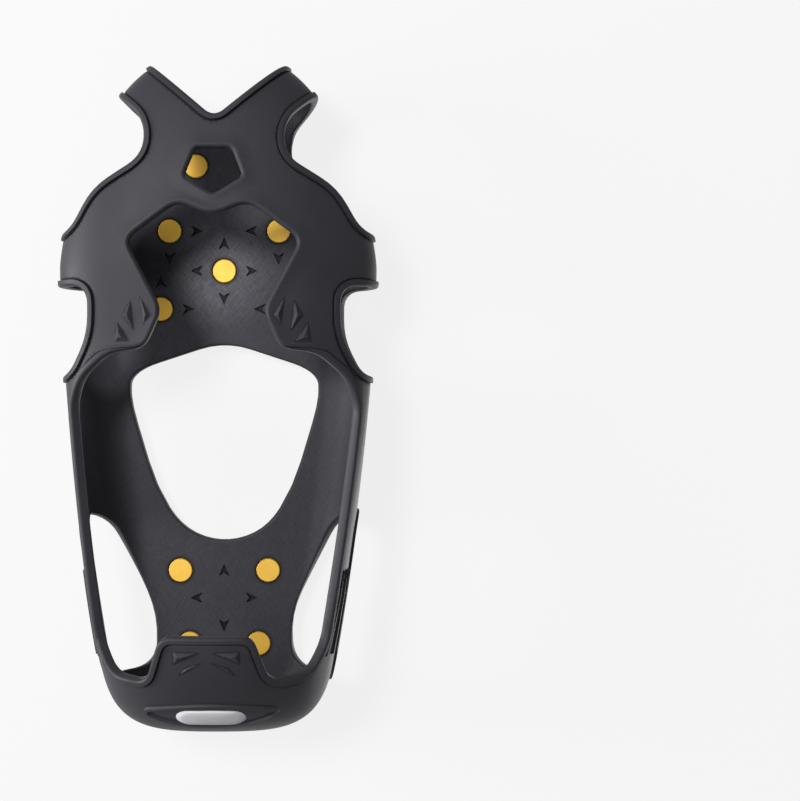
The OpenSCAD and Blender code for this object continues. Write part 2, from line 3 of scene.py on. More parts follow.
import bmesh
import bpy
import numpy as np
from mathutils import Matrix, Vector


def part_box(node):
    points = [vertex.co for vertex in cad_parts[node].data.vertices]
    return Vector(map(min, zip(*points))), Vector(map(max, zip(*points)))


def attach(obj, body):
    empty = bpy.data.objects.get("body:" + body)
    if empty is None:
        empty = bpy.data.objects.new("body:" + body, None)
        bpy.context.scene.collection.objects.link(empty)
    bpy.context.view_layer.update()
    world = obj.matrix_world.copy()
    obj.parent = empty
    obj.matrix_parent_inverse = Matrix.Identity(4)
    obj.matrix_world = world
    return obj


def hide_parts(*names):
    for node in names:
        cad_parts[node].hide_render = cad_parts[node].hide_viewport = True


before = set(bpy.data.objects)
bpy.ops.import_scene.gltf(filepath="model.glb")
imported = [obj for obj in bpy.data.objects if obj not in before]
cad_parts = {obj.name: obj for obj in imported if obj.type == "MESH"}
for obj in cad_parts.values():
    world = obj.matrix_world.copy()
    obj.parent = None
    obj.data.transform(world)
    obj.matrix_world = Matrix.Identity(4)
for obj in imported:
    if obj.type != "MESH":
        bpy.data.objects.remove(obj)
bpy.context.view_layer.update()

scene = bpy.context.scene
mm = 0.001
farOff = 9.0  # in mm, stands for every greater distance
tiny = 1e-9

# the boot form, in mm, with the same values as the part's source
form = {
    "ballHalf": 52.2,
    "heelHalf": 39.5,
    "toeY": 114.5,
    "heelY": -108.0,
    "ballBack": 71.5,  # widest section, behind the front end
    "foldH": 18.4,
    "instepH": 38.4,
    "tabH": 54.6,
    "cornerReach": 17.0,
    "heelCup": 30.0,
    "heelRound": 38.0,
    "heelLean": 48.0,
    "heelLift": 22.0,
    "toeLift": 30.0,
    "upperPower": 2.4,
    "toeFade": (1.4, 2.6),  # powers of the curves that close the ends
    "heelFade": (5, 3.5),
    "leanFade": (2.4, 2),
    "liftFade": (2.2, 2),
    "taperPower": 1.6,
    "cornerShare": 0.7,  # of the half width, where the ends are narrow
    "soleZ": 3.6,  # the sole's underside above the spike tips
    "toeTrim": 3.9,
}
toeY = form["toeY"]
heelY = form["heelY"]
ballAt = toeY - form["ballBack"]
soleZ = form["soleZ"]
foldZ = soleZ + form["foldH"]
midY = (toeY - form["toeTrim"] + heelY) / 2

# the rubber's walls and rims, in mm
rubber = {
    "gridStep": 1.0,
    "runs": (35, 28, 64),  # along the flat sole, round the corner and over the top
    "endGaps": (0.15, 0.3),  # from the rear and front ends to the first and last rows
    "rowSlack": 0.1,
    "rearRows": (0.25, 24),  # share of the step at the end, and the length in which it grows by one
    "frontRows": (0.35, 30),
    "fineSteps": (0.75, 0.4),
    "fineReach": 1.4,
    "wall": 2.6,
    "sole": 3.4,
    "rimW": 2.6,
    "rimH": 0.8,
    "edgeRound": 1.05,
    "edgeSteps": (0.13, 0.38, 0.7),
    "innerRound": 0.8,
    "grooveDeep": 0.3,
    "grooveAt": (2.05, 2.35, 2.7),  # start, bottom and end, from the edge
    "lipH": 0.4,
    "lipW": 6.0,
    "lipFade": (1.0, 5.0),
    "rimRunOut": (-0.5, 3.0),  # where the throat's rim ends, from the wings' rear
    # painted shade drawn into the colour: where the groove beside a rim is darkened, and how dark the
    # groove, tread floor, rib feet and stud rings are drawn
    "grooveShade": (2.05, 2.3, 2.4, 2.9),
    "shade": {"groove": 0.65, "floor": 0.7, "foot": 0.7, "ring": 0.65},
    "bandFrom": (0.75, 1.0),  # the woven side band, as shares of the way round the section
    "bandTo": (1.9, 2.1),
    "bandIn": (2.6, 3.0),
}
rimZ = soleZ - rubber["rimH"]

# outlines of the openings, in mm, set off from the front end, the widest section or the rear end
cut = {
    "toeGapBack": 24.5,
    "toeGapSpread": 2.3,
    "toeStrapW": 15.0,
    "neckHalf": 22.5,
    "neckBack": 34.5,
    "notchDrop": 2.0,
    "notchBow": 3.0,
    "notchIn": 4.4,
    "strapFront": 12.5,
    "strapRear": 6.5,
    "midWindowHalf": 40.5,
    "midWindowRear": 37.0,
    "wingStrapW": 7.5,
    "rearWindowFront": 71.0,
    "rearWindowRear": 18.0,
    "waistHalf": 22.0,
    "waist": 36.0,
    "rearWindowH": 20.0,
    "throat": 15.5,
    "throatHalf": 28.0,
    "throatBow": 4.5,
    "throatDrop": 7.5,
    "wing": 14.5,
    "wingHalf": 16.0,
    "wingL": 12.0,
    "wingSweep": 5.5,
    "toplineIn": 3.2,
    "heelTop": 21.0,
    "tab": 36.0,
    "tabHalf": 14.5,
    "tabFlare": 5.0,
    "holeFront": 23.0,
    "holeRear": 60.0,
    "holeHalf": 32.0,
    "window": 15.0,
    "windowR": 8.4,
    "windowHalf": 9.4,
    "throatRound": 4.0,
    "notchRound": 6.0,
    "holeRound": 9.0,
    "windowRound": 1.6,
    "fieldRound": 2.0,
    "roundStep": 9,  # degrees that one step of a round turns
    "beyond": 700.0,
}


def ramp(value, low, high):
    return np.clip((value - low) / (high - low), 0, 1)


# fades from 1 to 0, level at the start and steep at the end
def ease(share, power, root):
    rest = 1 - np.clip(share, 0, 1) ** power
    return np.clip(rest, 0, 1) ** (1 / root)


def toeEase(y, length, power, root):
    return ease(1 - (toeY - y) / length, power, root)


def heelEase(y, length, power, root):
    return ease(1 - (y - heelY) / length, power, root)


def halfWidth(y):
    front = form["ballHalf"] * toeEase(y, form["ballBack"], *form["toeFade"])
    back = np.clip((ballAt - y) / (ballAt - heelY - form["heelCup"]), 0, None) ** form["taperPower"]
    taper = form["ballHalf"] - (form["ballHalf"] - form["heelHalf"]) * back
    return np.where(y > ballAt, front, taper * heelEase(y, form["heelRound"], *form["heelFade"]))


def topZ(y):
    holeFrontAt = ballAt - cut["holeFront"]
    rise = np.clip((holeFrontAt - y) / (holeFrontAt - heelY - cut["tab"]), 0, 1)
    crest = soleZ + form["instepH"] + (form["tabH"] - form["instepH"]) * rise ** 2 * (3 - 2 * rise)
    toe = toeEase(y, form["ballBack"], *form["toeFade"])
    return foldZ + (crest - foldZ) * (toe * heelEase(y, form["heelLean"], *form["leanFade"]))


def bottomZ(y):
    toe = toeEase(y, form["toeLift"], *form["liftFade"])
    return foldZ - (foldZ - rimZ) * (toe * heelEase(y, form["heelLift"], *form["liftFade"]))


def cornerReach(y):
    return np.minimum(form["cornerReach"], form["cornerShare"] * halfWidth(y))


# even steps along the upper quarter of a section, found on a typical one
sample = {"half": 50, "rise": 25, "steps": 600}
upperTurns = np.linspace(0, math.pi / 2, sample["steps"])
upperRoot = 2 / form["upperPower"]
upperArc = np.stack([
    sample["half"] * np.cos(upperTurns) ** upperRoot, sample["rise"] * np.sin(upperTurns) ** upperRoot,
], axis=1)
upperRun = np.concatenate([[0], np.cumsum(np.linalg.norm(np.diff(upperArc, axis=0), axis=1))])
upperRun = upperRun / upperRun[-1]


# a point of the right half: v runs 0 to 1 along the flat sole, to 2 round the corner and to 3 over the top
def sectionPoint(y, v):
    width = halfWidth(y)
    reach = cornerReach(y)
    low = bottomZ(y)
    cornerTurn = np.clip(v - 1, 0, 1) * math.pi / 2
    upperTurn = np.interp(np.clip(v - 2, 0, 1), upperRun, upperTurns)
    upperX = width * np.clip(np.cos(upperTurn), 0, 1) ** upperRoot
    upperZ = foldZ + (topZ(y) - foldZ) * np.sin(upperTurn) ** upperRoot
    cornerX = width - reach + reach * np.sin(cornerTurn)
    cornerZ = foldZ - (foldZ - low) * np.cos(cornerTurn)
    x = np.where(v < 1, (width - reach) * v, np.where(v < 2, cornerX, upperX))
    z = np.where(v < 1, low, np.where(v < 2, cornerZ, upperZ))
    return np.stack([x, y, z], axis=1)


# how far a point lies outside the form, as a share of the form's own size
def formLevel(x, y, z):
    width = halfWidth(y)
    reach = cornerReach(y)
    power = form["upperPower"]
    high = np.abs(x / width) ** power + np.clip((z - foldZ) / (topZ(y) - foldZ), 0, None) ** power
    across = np.clip(np.abs(x) - width + reach, 0, None) / reach
    low = across ** 2 + ((foldZ - z) / (foldZ - bottomZ(y))) ** 2
    return np.where(z > foldZ, high ** (1 / power), np.sqrt(low))


def outward(points):
    probe = 0.02
    slopes = []
    for axis in range(3):
        shift = np.zeros(3)
        shift[axis] = probe
        slopes.append(formLevel(*(points + shift).T) - formLevel(*(points - shift).T))
    slopes = np.stack(slopes, axis=1)
    return slopes / np.linalg.norm(slopes, axis=1, keepdims=True)


# the same outline on both sides, from the points of its right half
def bothSides(points):
    return points + [(-x, y) for x, y in reversed(points) if x > 0]


# an outline with its corners rounded by curves that start at most reach before each corner
def softened(points, reach):
    corners = np.array(points, dtype=float)
    soft = []
    for i, corner in enumerate(corners):
        back = corners[i - 1] - corner
        ahead = corners[(i + 1) % len(corners)] - corner
        backL = np.linalg.norm(back)
        aheadL = np.linalg.norm(ahead)
        first = corner + back * min(0.5, reach / backL)
        last = corner + ahead * min(0.5, reach / aheadL)
        turn = math.degrees(math.acos(np.clip(-back @ ahead / backL / aheadL, -1, 1)))
        steps = max(1, math.ceil(turn / cut["roundStep"]))
        for t in np.linspace(0, 1, steps + 1):
            soft.append(first * (1 - t) ** 2 + corner * 2 * t * (1 - t) + last * t ** 2)
    return np.array(soft)


def spread(shares, half, low, high):
    return [(half * a, low + (high - low) * b) for a, b in shares]


def widthAt(y):
    return float(halfWidth(np.array([y]))[0])


def toeGapOutline():
    at = toeY - cut["toeGapBack"]
    reach = cut["toeGapBack"] + rubber["rimW"]
    return softened(bothSides([(0, at), (reach * cut["toeGapSpread"] / 2, at + reach)]), cut["throatRound"])


def toeNotchOutline():
    strap = np.array([cut["toeGapSpread"] / 2, 1])
    strap = strap / np.linalg.norm(strap)
    edge = np.array([0, toeY - cut["toeGapBack"]]) + np.array([strap[1], -strap[0]]) * cut["toeStrapW"]
    reach = (cut["neckHalf"] - edge[0]) / strap[0]
    front = ballAt + cut["strapFront"]
    beyond = cut["beyond"]
    drop = cut["notchDrop"]
    neck = (cut["neckHalf"], toeY - cut["neckBack"] - drop)
    bow = cut["notchBow"] / math.sqrt(2)
    middle = ((form["ballHalf"] + neck[0]) / 2 + bow, (front - drop + neck[1]) / 2 + bow)
    return softened([
        edge + strap * reach, edge + strap * beyond, (beyond, beyond), (beyond, front),
        (form["ballHalf"] - cut["notchIn"], front - drop), middle, neck,
    ], cut["notchRound"])


def midWindowOutline():
    front = ballAt - cut["strapRear"]
    rear = ballAt - cut["midWindowRear"]
    half = cut["midWindowHalf"]
    beyond = cut["beyond"]
    return softened([
        (half, front), (beyond, front), (beyond, rear),
        (widthAt(rear) - rubber["rimW"], rear + rubber["rimW"] / 2), (half, rear + 2 * cut["wingStrapW"]),
    ], cut["notchRound"])


def throatOutline():
    front = ballAt + cut["throat"]
    wing = ballAt - cut["wing"]
    rear = ballAt - cut["midWindowRear"]
    heelTop = heelY + cut["heelTop"]
    strap = cut["wingStrapW"]
    points = [
        (0, front), (cut["throatHalf"] * 0.4, front + cut["throatBow"]),
        (cut["throatHalf"], front - cut["throatDrop"]),
        (cut["wingHalf"], wing), (cut["wingHalf"] + cut["wingSweep"], wing - cut["wingL"]),
        (cut["midWindowHalf"] - strap, wing - cut["wingL"] * 1.1),
        (widthAt(rear) - strap, rear + rubber["rimW"] / 2),
    ]
    for y in np.arange(rear - strap, heelTop + strap, -strap):
        points.append((widthAt(y) - cut["toplineIn"], y))
    points += [
        (widthAt(heelTop) - 2 * cut["toplineIn"], heelTop + cut["toplineIn"] / 2),
        (cut["tabHalf"] + cut["tabFlare"], heelTop), (cut["tabHalf"], heelY + cut["tab"]),
        (0, heelY + cut["tab"]),
    ]
    return softened(bothSides(points), cut["throatRound"])


def toeWindowOutline():
    at = ballAt + cut["throat"] + cut["window"]
    turns = [math.radians(72 * i) for i in range(5)]
    across = cut["windowHalf"] / math.sin(turns[1])
    corners = [(across * math.sin(a), at - cut["windowR"] * math.cos(a)) for a in turns]
    return softened(corners, cut["windowRound"])


def soleHoleOutline():
    shares = [(0, 1), (0.97, 0.85), (1, 0.72), (0.72, 0.28), (0.44, 0.07), (0, 0)]
    points = spread(shares, cut["holeHalf"], heelY + cut["holeRear"], ballAt - cut["holeFront"])
    return softened(bothSides(points), cut["holeRound"])


def rearWindowOutline():
    front = heelY + cut["rearWindowFront"]
    rear = heelY + cut["rearWindowRear"]
    beyond = cut["beyond"]
    return softened([
        (beyond, front), (widthAt(front) - 2 * rubber["rimW"], front),
        (cut["waistHalf"], heelY + cut["waist"]), (cut["waistHalf"] * 1.09, rear), (beyond, rear),
    ], cut["holeRound"])


# drawn as y and z, under the heel strap
def rearWindowSide():
    front = heelY + cut["rearWindowFront"]
    rear = heelY + cut["rearWindowRear"]
    top = soleZ + cut["rearWindowH"]
    beyond = cut["beyond"]
    return softened([(front, -beyond), (front, top), (rear, top), (rear, -beyond)], cut["holeRound"])


# signed distance to an outline, positive outside, with the direction away from its nearest point
def outlineDistance(a, b, outline, reach=farOff):
    distance = np.full(len(a), reach)
    away = np.zeros((len(a), 2))
    low = outline.min(axis=0) - reach
    high = outline.max(axis=0) + reach
    near = np.nonzero((a > low[0]) & (a < high[0]) & (b > low[1]) & (b < high[1]))[0]
    a = a[near]
    b = b[near]
    best = np.full(len(near), 1e12)
    awayA = np.zeros(len(near))
    awayB = np.zeros(len(near))
    inside = np.zeros(len(near), dtype=bool)
    for start, end in zip(outline, np.roll(outline, -1, axis=0)):
        run = end - start
        share = np.clip(((a - start[0]) * run[0] + (b - start[1]) * run[1]) / max(run @ run, 1e-12), 0, 1)
        offA = a - start[0] - share * run[0]
        offB = b - start[1] - share * run[1]
        square = offA * offA + offB * offB
        closer = square < best
        best = np.where(closer, square, best)
        awayA = np.where(closer, offA, awayA)
        awayB = np.where(closer, offB, awayB)
        if run[1] != 0:
            crosses = (start[1] > b) != (end[1] > b)
            inside ^= crosses & (a < start[0] + run[0] * (b - start[1]) / run[1])
    length = np.sqrt(best)
    distance[near] = np.where(inside, -length, length)
    away[near] = np.stack([awayA, awayB], axis=1) / np.maximum(length, 1e-9)[:, None]
    return distance, away


# a distance measured in plan or from the side, turned into one along the surface
def alongSurface(distance, away, normals, axes):
    least = 0.06  # keeps the stretch finite where a wall stands almost upright
    lean = normals[:, axes[0]] * away[:, 0] + normals[:, axes[1]] * away[:, 1]
    return distance / np.sqrt(np.clip(1 - lean ** 2, least, 1))


toeGap = toeGapOutline()
toeNotch = toeNotchOutline()
midWindow = midWindowOutline()
throat = throatOutline()
toeWindow = toeWindowOutline()
soleHole = soleHoleOutline()
rearPlan = rearWindowOutline()
rearSide = rearWindowSide()
wingRear = ballAt - cut["wing"] - cut["wingL"]


# distances along the rubber from the nearest opening and from the nearest rimmed one
def edgeDistances(points, normals, v):
    x, y, z = points.T
    upper = v >= 2

    def fromAbove(outline):
        return alongSurface(*outlineDistance(x, y, outline), normals, (0, 1))

    rimmed = np.minimum.reduce([fromAbove(toeGap), fromAbove(toeNotch), fromAbove(midWindow)])
    side = alongSurface(*outlineDistance(y, z, rearSide), normals, (1, 2))
    rimmed = np.minimum(rimmed, np.maximum(fromAbove(rearPlan), side))
    rimmed = np.where(upper, rimmed, np.minimum(rimmed, fromAbove(soleHole)))
    toThroat = np.where(upper, fromAbove(throat), farOff)
    toWindow = np.where(upper, fromAbove(toeWindow), farOff)
    edge = np.minimum.reduce([rimmed, toThroat, toWindow])
    # the throat's front and the toe window have plain lips, so the throat's rim runs out behind the wings
    start, end = rubber["rimRunOut"]
    rimmed = np.minimum(rimmed, toThroat + farOff * ramp(y, wingRear + start, wingRear + end))
    return edge, np.clip(rimmed, None, farOff)


# tread, studs and insole, in mm
tread = {
    "stepX": 5.45,
    "stepY": 4.3,
    "blockW": 6.0,
    "in": 1.2,
    "blockOut": 0.7,
    "dotOut": -0.3,
    "dotR": 0.95,
    "dotEdge": 0.35,
    "dotIn": 1.2,  # from the field's edge
    "dotGap": 0.8,  # from a boss
    "flatTo": 1.7,  # the sole's tread and bosses end here, on the way round the section
    "arrowTo": 1.2,
    "bevel": 0.32,
    "edge": 0.55,
    "ballFieldHalf": 34.5,
    "heelFieldHalf": 28.0,
    "fieldEdge": 3.0,
    "heelField": 11.0,
    "bossR": 6.9,
    "bossOut": 1.2,
    "bossStep": 0.35,
    "bossEdge": 0.3,
    "bossShoulder": (5.4, 5.7),
    "collarDeep": 1.45,
    "pocketR": 4.08,
    "pocketEdge": 0.2,
    "headDeep": 1.25,
    "arrowOff": 9.2,
    "arrowL": 4.4,
    "arrowW": 4.0,
    "arrowDeep": 0.7,
    "arrowEdge": 0.25,
}


# the studs' places on the right half come from the CAD heads
def studPlaces():
    places = []
    for name in sorted(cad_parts):
        if name.startswith("stud_head_"):
            low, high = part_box(name)
            place = ((low[0] + high[0]) / 2 / mm, (low[1] + high[1]) / 2 / mm + midY)
            if place[0] > -0.01:
                places.append((name.removeprefix("stud_head_"), place))
    return places


studs = studPlaces()
ballField = softened(bothSides(spread(
    [
        (0, 1), (0.2, 1.02), (0.49, 0.95), (0.7, 0.72), (1, 0.55),
        (0.9, 0.44), (0.93, 0.02), (0.55, -0.06), (0, 0),
    ],
    tread["ballFieldHalf"], ballAt - cut["holeFront"] + tread["fieldEdge"],
    toeY - cut["toeGapBack"] - tread["fieldEdge"],
)), cut["fieldRound"])
heelField = softened(bothSides(spread(
    [(0, 1), (0.5, 1.13), (1, 1.12), (0.64, 0.55), (0.71, 0.24), (0.29, 0.02), (0, 0)],
    tread["heelFieldHalf"], heelY + tread["heelField"], heelY + cut["holeRear"] - tread["fieldEdge"],
)), cut["fieldRound"])


# distance to a six-sided block with corners to the toe and the heel
def blockDistance(x, y):
    flat = tread["blockW"] / 2 * math.cos(math.radians(30))
    sides = [np.abs(x)]
    for turn in (30, -30):
        sides.append(np.abs(x * math.sin(math.radians(turn)) + y * math.cos(math.radians(turn))))
    return np.maximum.reduce(sides) - flat


# the staggered lattice: blocks on its even places, dots on its odd ones
def latticeDistance(x, y, odd, measure):
    best = np.full(len(x), farOff)
    i = np.round(x / tread["stepX"])
    j = np.round(y / tread["stepY"])
    for di in (-1, 0, 1):
        for dj in (-1, 0, 1):
            fits = np.mod(i + di + j + dj, 2) == odd
            d = measure(x - (i + di) * tread["stepX"], y - (j + dj) * tread["stepY"])
            best = np.where(fits, np.minimum(best, d), best)
    return best


# arrowheads on the insole point away from the studs under the ball, and from the middle of the heel
def arrowPlaces():
    places = dict(studs)
    off = tread["arrowOff"]
    heelFront = places["heel_front_right"]
    middles = [
        (places["ball_center"], (0, 90, 180)), ((0.0, heelFront[1] - off), (0, 90, 180)),
        (places["ball_right"], (180, 270)), (places["arch_right"], (0, 270)),
    ]
    spots = []
    for middle, turns in middles:
        for turn in turns:
            way = (math.sin(math.radians(turn)), math.cos(math.radians(turn)))
            spots.append(((middle[0] + off * way[0], middle[1] + off * way[1]), way))
    return spots


arrows = arrowPlaces()


def arrowDistance(x, y):
    half = tread["arrowL"] / 2
    side = tread["arrowW"] / 2
    shape = np.array([(0, half), (side, -half), (0, -half * 0.4), (-side, -half)])
    best = np.full(len(x), farOff)
    for spot, way in arrows:
        ahead = (x - spot[0]) * way[0] + (y - spot[1]) * way[1]
        aside = (x - spot[0]) * way[1] - (y - spot[1]) * way[0]
        best = np.minimum(best, outlineDistance(aside, ahead, shape, 3.0)[0])
    return best


# raised grip ribs and the heel's badge frame, in mm
grip = {
    "wingRibL": 14.0,
    # each wedge's corners: direction from the toe, share of the length
    "wingWedges": [
        [(-28, 0.67), (-3, 1.0), (-19, 0.41)],
        [(10, 0.94), (32, 0.69), (20, 0.26)],
        [(48, 0.64), (90, 0.55), (90, 0.18)],
    ],
    "tabRibL": 10.5,
    "tabWedges": [[(49, 0.29), (77, 1.0), (99, 0.98)], [(128, 0.21), (114, 0.7), (122, 0.97)]],
    "tabRibIn": 7.0,
    "strapRibL": 36.0,
    "strapRibW": 1.6,
    "strapRibStep": 3.2,
    "strapRibFan": 1.6,  # the ribs stand this much wider apart at the rear
    "ribH": 1.15,
    "bevel": 1.2,  # the wedges rise like roofs, so one side catches the light
    "strapBevel": 0.3,
    "shadeW": 0.45,
    "shadeFade": 0.3,
    "frameW": 43.0,
    "frameH": 14.0,
    "frameRim": 1.8,
    "frameEdge": 0.4,
    "frameRound": 3.0,
    "frameReach": 30.0,  # from the rear end
    "panelDeep": 0.25,
    "badge": 8.5,  # middle of the badge, ahead of the rear end
}
badgeAt = heelY + grip["badge"]


def fan(middle, length, wedges):
    shapes = []
    for wedge in wedges:
        corners = [(length * share * math.sin(math.radians(a)), length * share * math.cos(math.radians(a)))
            for a, share in wedge]
        shapes.append(np.array(corners) + middle)
    return shapes


tabAt = heelY + cut["tab"]
fanIn = 0.8 * rubber["rimW"]
wingFan = (cut["wingHalf"] + cut["wingSweep"] + fanIn, wingRear + fanIn)
planRibs = fan(wingFan, grip["wingRibL"], grip["wingWedges"])
planRibs += fan((0, tabAt - grip["tabRibIn"]), grip["tabRibL"], grip["tabWedges"])


def strapRibs():
    shapes = []
    top = soleZ + cut["rearWindowH"]
    step = grip["strapRibStep"]
    wide = grip["strapRibW"]
    for i in range(3):
        front = np.array([tabAt + grip["strapRibL"] / 2, top + rubber["rimW"] + step * (i + 0.5)])
        rear = np.array([tabAt - grip["strapRibL"] / 4, top + step * (1 + grip["strapRibFan"] * i)])
        shapes.append(np.array([front, rear, rear + (0, wide), front + (0, wide / 2)]))
    return shapes


sideRibs = strapRibs()


def ribDistance(points, v):
    x, y, _ = points.T
    best = np.full(len(points), farOff)
    for shape in planRibs:
        best = np.where(v > 2, np.minimum(best, outlineDistance(x, y, shape, 3.0)[0]), best)
    return best


def strapRibDistance(points, v):
    _, y, z = points.T
    best = np.full(len(points), farOff)
    for shape in sideRibs:
        best = np.where(v > 1.5, np.minimum(best, outlineDistance(y, z, shape, 3.0)[0]), best)
    return best


# slope of the heel's back at the badge, and places measured on it
slopeStep = 0.05
badgeZ = float(topZ(np.array([badgeAt]))[0])
badgeEnds = topZ(np.array([badgeAt - slopeStep, badgeAt + slopeStep]))
badgeLean = math.atan(float(badgeEnds[1] - badgeEnds[0]) / (2 * slopeStep))


def frameDistance(points, v):
    x, y, z = points.T
    up = (y - badgeAt) * math.cos(badgeLean) + (z - badgeZ) * math.sin(badgeLean)
    half = grip["frameW"] / 2 - grip["frameRound"]
    high = grip["frameH"] / 2 - grip["frameRound"]
    r = (half * half + high * high) / (2 * high)
    across = np.abs(x)
    away = np.abs(up)
    pastTip = (across - half) * (r - high) > away * half
    arc = np.hypot(across, away + r - high) - r
    eye = np.where(pastTip, np.hypot(across - half, away), arc) - grip["frameRound"]
    return np.where((v > 2) & (y < heelY + grip["frameReach"]), eye, farOff)


# every measure that shapes the rubber, at places given as y and v
def measuresAt(place):
    y, v = place.T
    points = sectionPoint(y, v)
    normals = outward(points)
    x = points[:, 0]
    flat = v < tread["flatTo"]
    farStud = 30.0
    fields = {}
    fields["edge"], fields["rimEdge"] = edgeDistances(points, normals, v)
    inBall = outlineDistance(x, y, ballField)[0]
    inHeel = outlineDistance(x, y, heelField)[0]
    field = np.where(flat, np.minimum(inBall, inHeel), farOff)
    boss = np.full(len(place), farStud)
    for _, spot in studs:
        boss = np.minimum(boss, np.hypot(x - spot[0], y - spot[1]))
    boss = np.where(flat, boss, farStud)
    block = latticeDistance(x, y, 0, blockDistance)
    dot = latticeDistance(x, y, 1, np.hypot)
    fields["field"] = field
    fields["boss"] = boss
    fields["block"] = np.maximum.reduce([
        block, field + tread["edge"], tread["bossR"] - tread["bossEdge"] - boss,
    ])
    clear = (field < -tread["dotIn"]) & (boss > tread["bossR"] + tread["dotGap"])
    fields["dot"] = np.where(clear, dot, farOff)
    fields["rib"] = ribDistance(points, v)
    fields["strapRib"] = strapRibDistance(points, v)
    fields["frame"] = frameDistance(points, v)
    fields["arrow"] = np.where(v < tread["arrowTo"], arrowDistance(x, y), farOff)
    return fields


# the flat net over the form's right half: rows along y, columns around the section
def startNet():
    step = rubber["gridStep"]
    rearGap, frontGap = rubber["endGaps"]
    rearShare, rearGrow = rubber["rearRows"]
    frontShare, frontGrow = rubber["frontRows"]
    rows = [heelY + rearGap]
    while rows[-1] < toeY - frontGap - rubber["rowSlack"]:
        rear = rearShare + (rows[-1] - heelY) / rearGrow
        front = frontShare + (toeY - rows[-1]) / frontGrow
        rows.append(rows[-1] + step * min(1, rear, front))
    rows[-1] = toeY - frontGap
    columns = []
    for part, length in enumerate(rubber["runs"]):
        columns.append(np.linspace(part, part + 1, round(length / step) + 1)[:-1])
    columns = np.concatenate(columns + [[3.0]])
    y, v = np.meshgrid(rows, columns, indexing="ij")
    place = np.stack([y.ravel(), v.ravel()], axis=1)
    count = len(columns)
    i, j = np.meshgrid(np.arange(len(rows) - 1), np.arange(count - 1), indexing="ij")
    corner = (i * count + j).ravel()
    swap = ((i + j) % 2).ravel() == 0
    a, b, c, d = corner, corner + 1, corner + count + 1, corner + count
    first = np.where(swap[:, None], np.stack([a, b, c], 1), np.stack([a, b, d], 1))
    second = np.where(swap[:, None], np.stack([a, c, d], 1), np.stack([b, c, d], 1))
    return {"place": place, "faces": np.concatenate([first, second]), "firstRow": rows[0]}


# drops the vertices that no face uses
def tidyNet(net):
    used = np.unique(net["faces"])
    index = np.full(len(net["place"]), -1)
    index[used] = np.arange(len(used))
    net["faces"] = index[net["faces"]]
    net["place"] = net["place"][used]
    net["fixed"] = net["fixed"][used]
    net["fields"] = {name: values[used] for name, values in net["fields"].items()}


def netEdges(faces):
    pairs = np.sort(np.concatenate([faces[:, [0, 1]], faces[:, [1, 2]], faces[:, [2, 0]]]), axis=1)
    return np.unique(pairs, axis=0)


# moves vertices that lie close to a measure's level onto it, then cuts the faces along that level
def cutNet(net, name, level, snap=0.22):
    edges = netEdges(net["faces"])
    values = net["fields"][name] - level
    a, b = edges.T
    crossing = values[a] * values[b] < 0
    a, b = a[crossing], b[crossing]
    share = values[a] / (values[a] - values[b])
    who = np.concatenate([a[share < snap], b[share > 1 - snap]])
    goal = np.concatenate([b[share < snap], a[share > 1 - snap]])
    part = np.concatenate([share[share < snap], 1 - share[share > 1 - snap]])
    free = ~net["fixed"][who]
    who, goal, part = who[free], goal[free], part[free]
    order = np.argsort(part, kind="stable")
    who, first = np.unique(who[order], return_index=True)
    if len(who):
        chosen = order[first]
        net["place"][who] += (net["place"][goal[chosen]] - net["place"][who]) * part[chosen][:, None]
        fresh = measuresAt(net["place"][who])
        for key in net["fields"]:
            net["fields"][key][who] = fresh[key]
        net["fields"][name][who] = level
        net["fixed"][who] = True
    values = net["fields"][name] - level
    values[np.abs(values) < 1e-7] = 0
    edges = netEdges(net["faces"])
    a, b = edges.T
    crossing = values[a] * values[b] < 0
    a, b = a[crossing], b[crossing]
    if not len(a):
        return
    share = values[a] / (values[a] - values[b])
    splitNet(net, a, b, share, True)
    net["fields"][name][-len(a):] = level


# splits faces where their edges, given by both ends, get a new vertex
def splitNet(net, a, b, share, fixed):
    count = len(net["place"])
    added = net["place"][a] + (net["place"][b] - net["place"][a]) * share[:, None]
    fresh = measuresAt(added)
    for key, values in net["fields"].items():
        along = np.abs(values[a] - values[b]) < tiny
        fresh[key] = np.where(along, values[a], fresh[key])
        net["fields"][key] = np.concatenate([values, fresh[key]])
    keys = a.astype(np.int64) * count + b
    order = np.argsort(keys)
    keys = keys[order]
    net["place"] = np.concatenate([net["place"], added])
    net["fixed"] = np.concatenate([net["fixed"], (net["fixed"][a] & net["fixed"][b]) | fixed])

    def middle(p, q):
        low = np.minimum(p, q).astype(np.int64)
        key = low * count + np.maximum(p, q)
        at = np.clip(np.searchsorted(keys, key), 0, len(keys) - 1)
        return np.where(keys[at] == key, count + order[at], -1)

    faces = net["faces"]
    cuts = np.stack([middle(faces[:, k], faces[:, (k + 1) % 3]) for k in range(3)], axis=1)
    number = (cuts >= 0).sum(axis=1)
    kept = [faces[number == 0]]
    for k in range(3):
        turned = faces[:, [k, (k + 1) % 3, (k + 2) % 3]]
        ab = cuts[:, k]
        ca = cuts[:, (k + 2) % 3]
        one = (number == 1) & (ab >= 0)
        p, q, r = turned[one].T
        m = ab[one]
        kept += [np.stack([p, m, r], 1), np.stack([m, q, r], 1)]
        two = (number == 2) & (ab >= 0) & (ca >= 0)
        p, q, r = turned[two].T
        m, n = ab[two], ca[two]
        kept += [np.stack([p, m, n], 1), np.stack([m, q, r], 1), np.stack([m, r, n], 1)]
    three = number == 3
    p, q, r = faces[three].T
    m, n, o = cuts[three].T
    kept += [np.stack([p, m, o], 1), np.stack([m, q, n], 1), np.stack([o, n, r], 1), np.stack([m, n, o], 1)]
    net["faces"] = np.concatenate(kept)


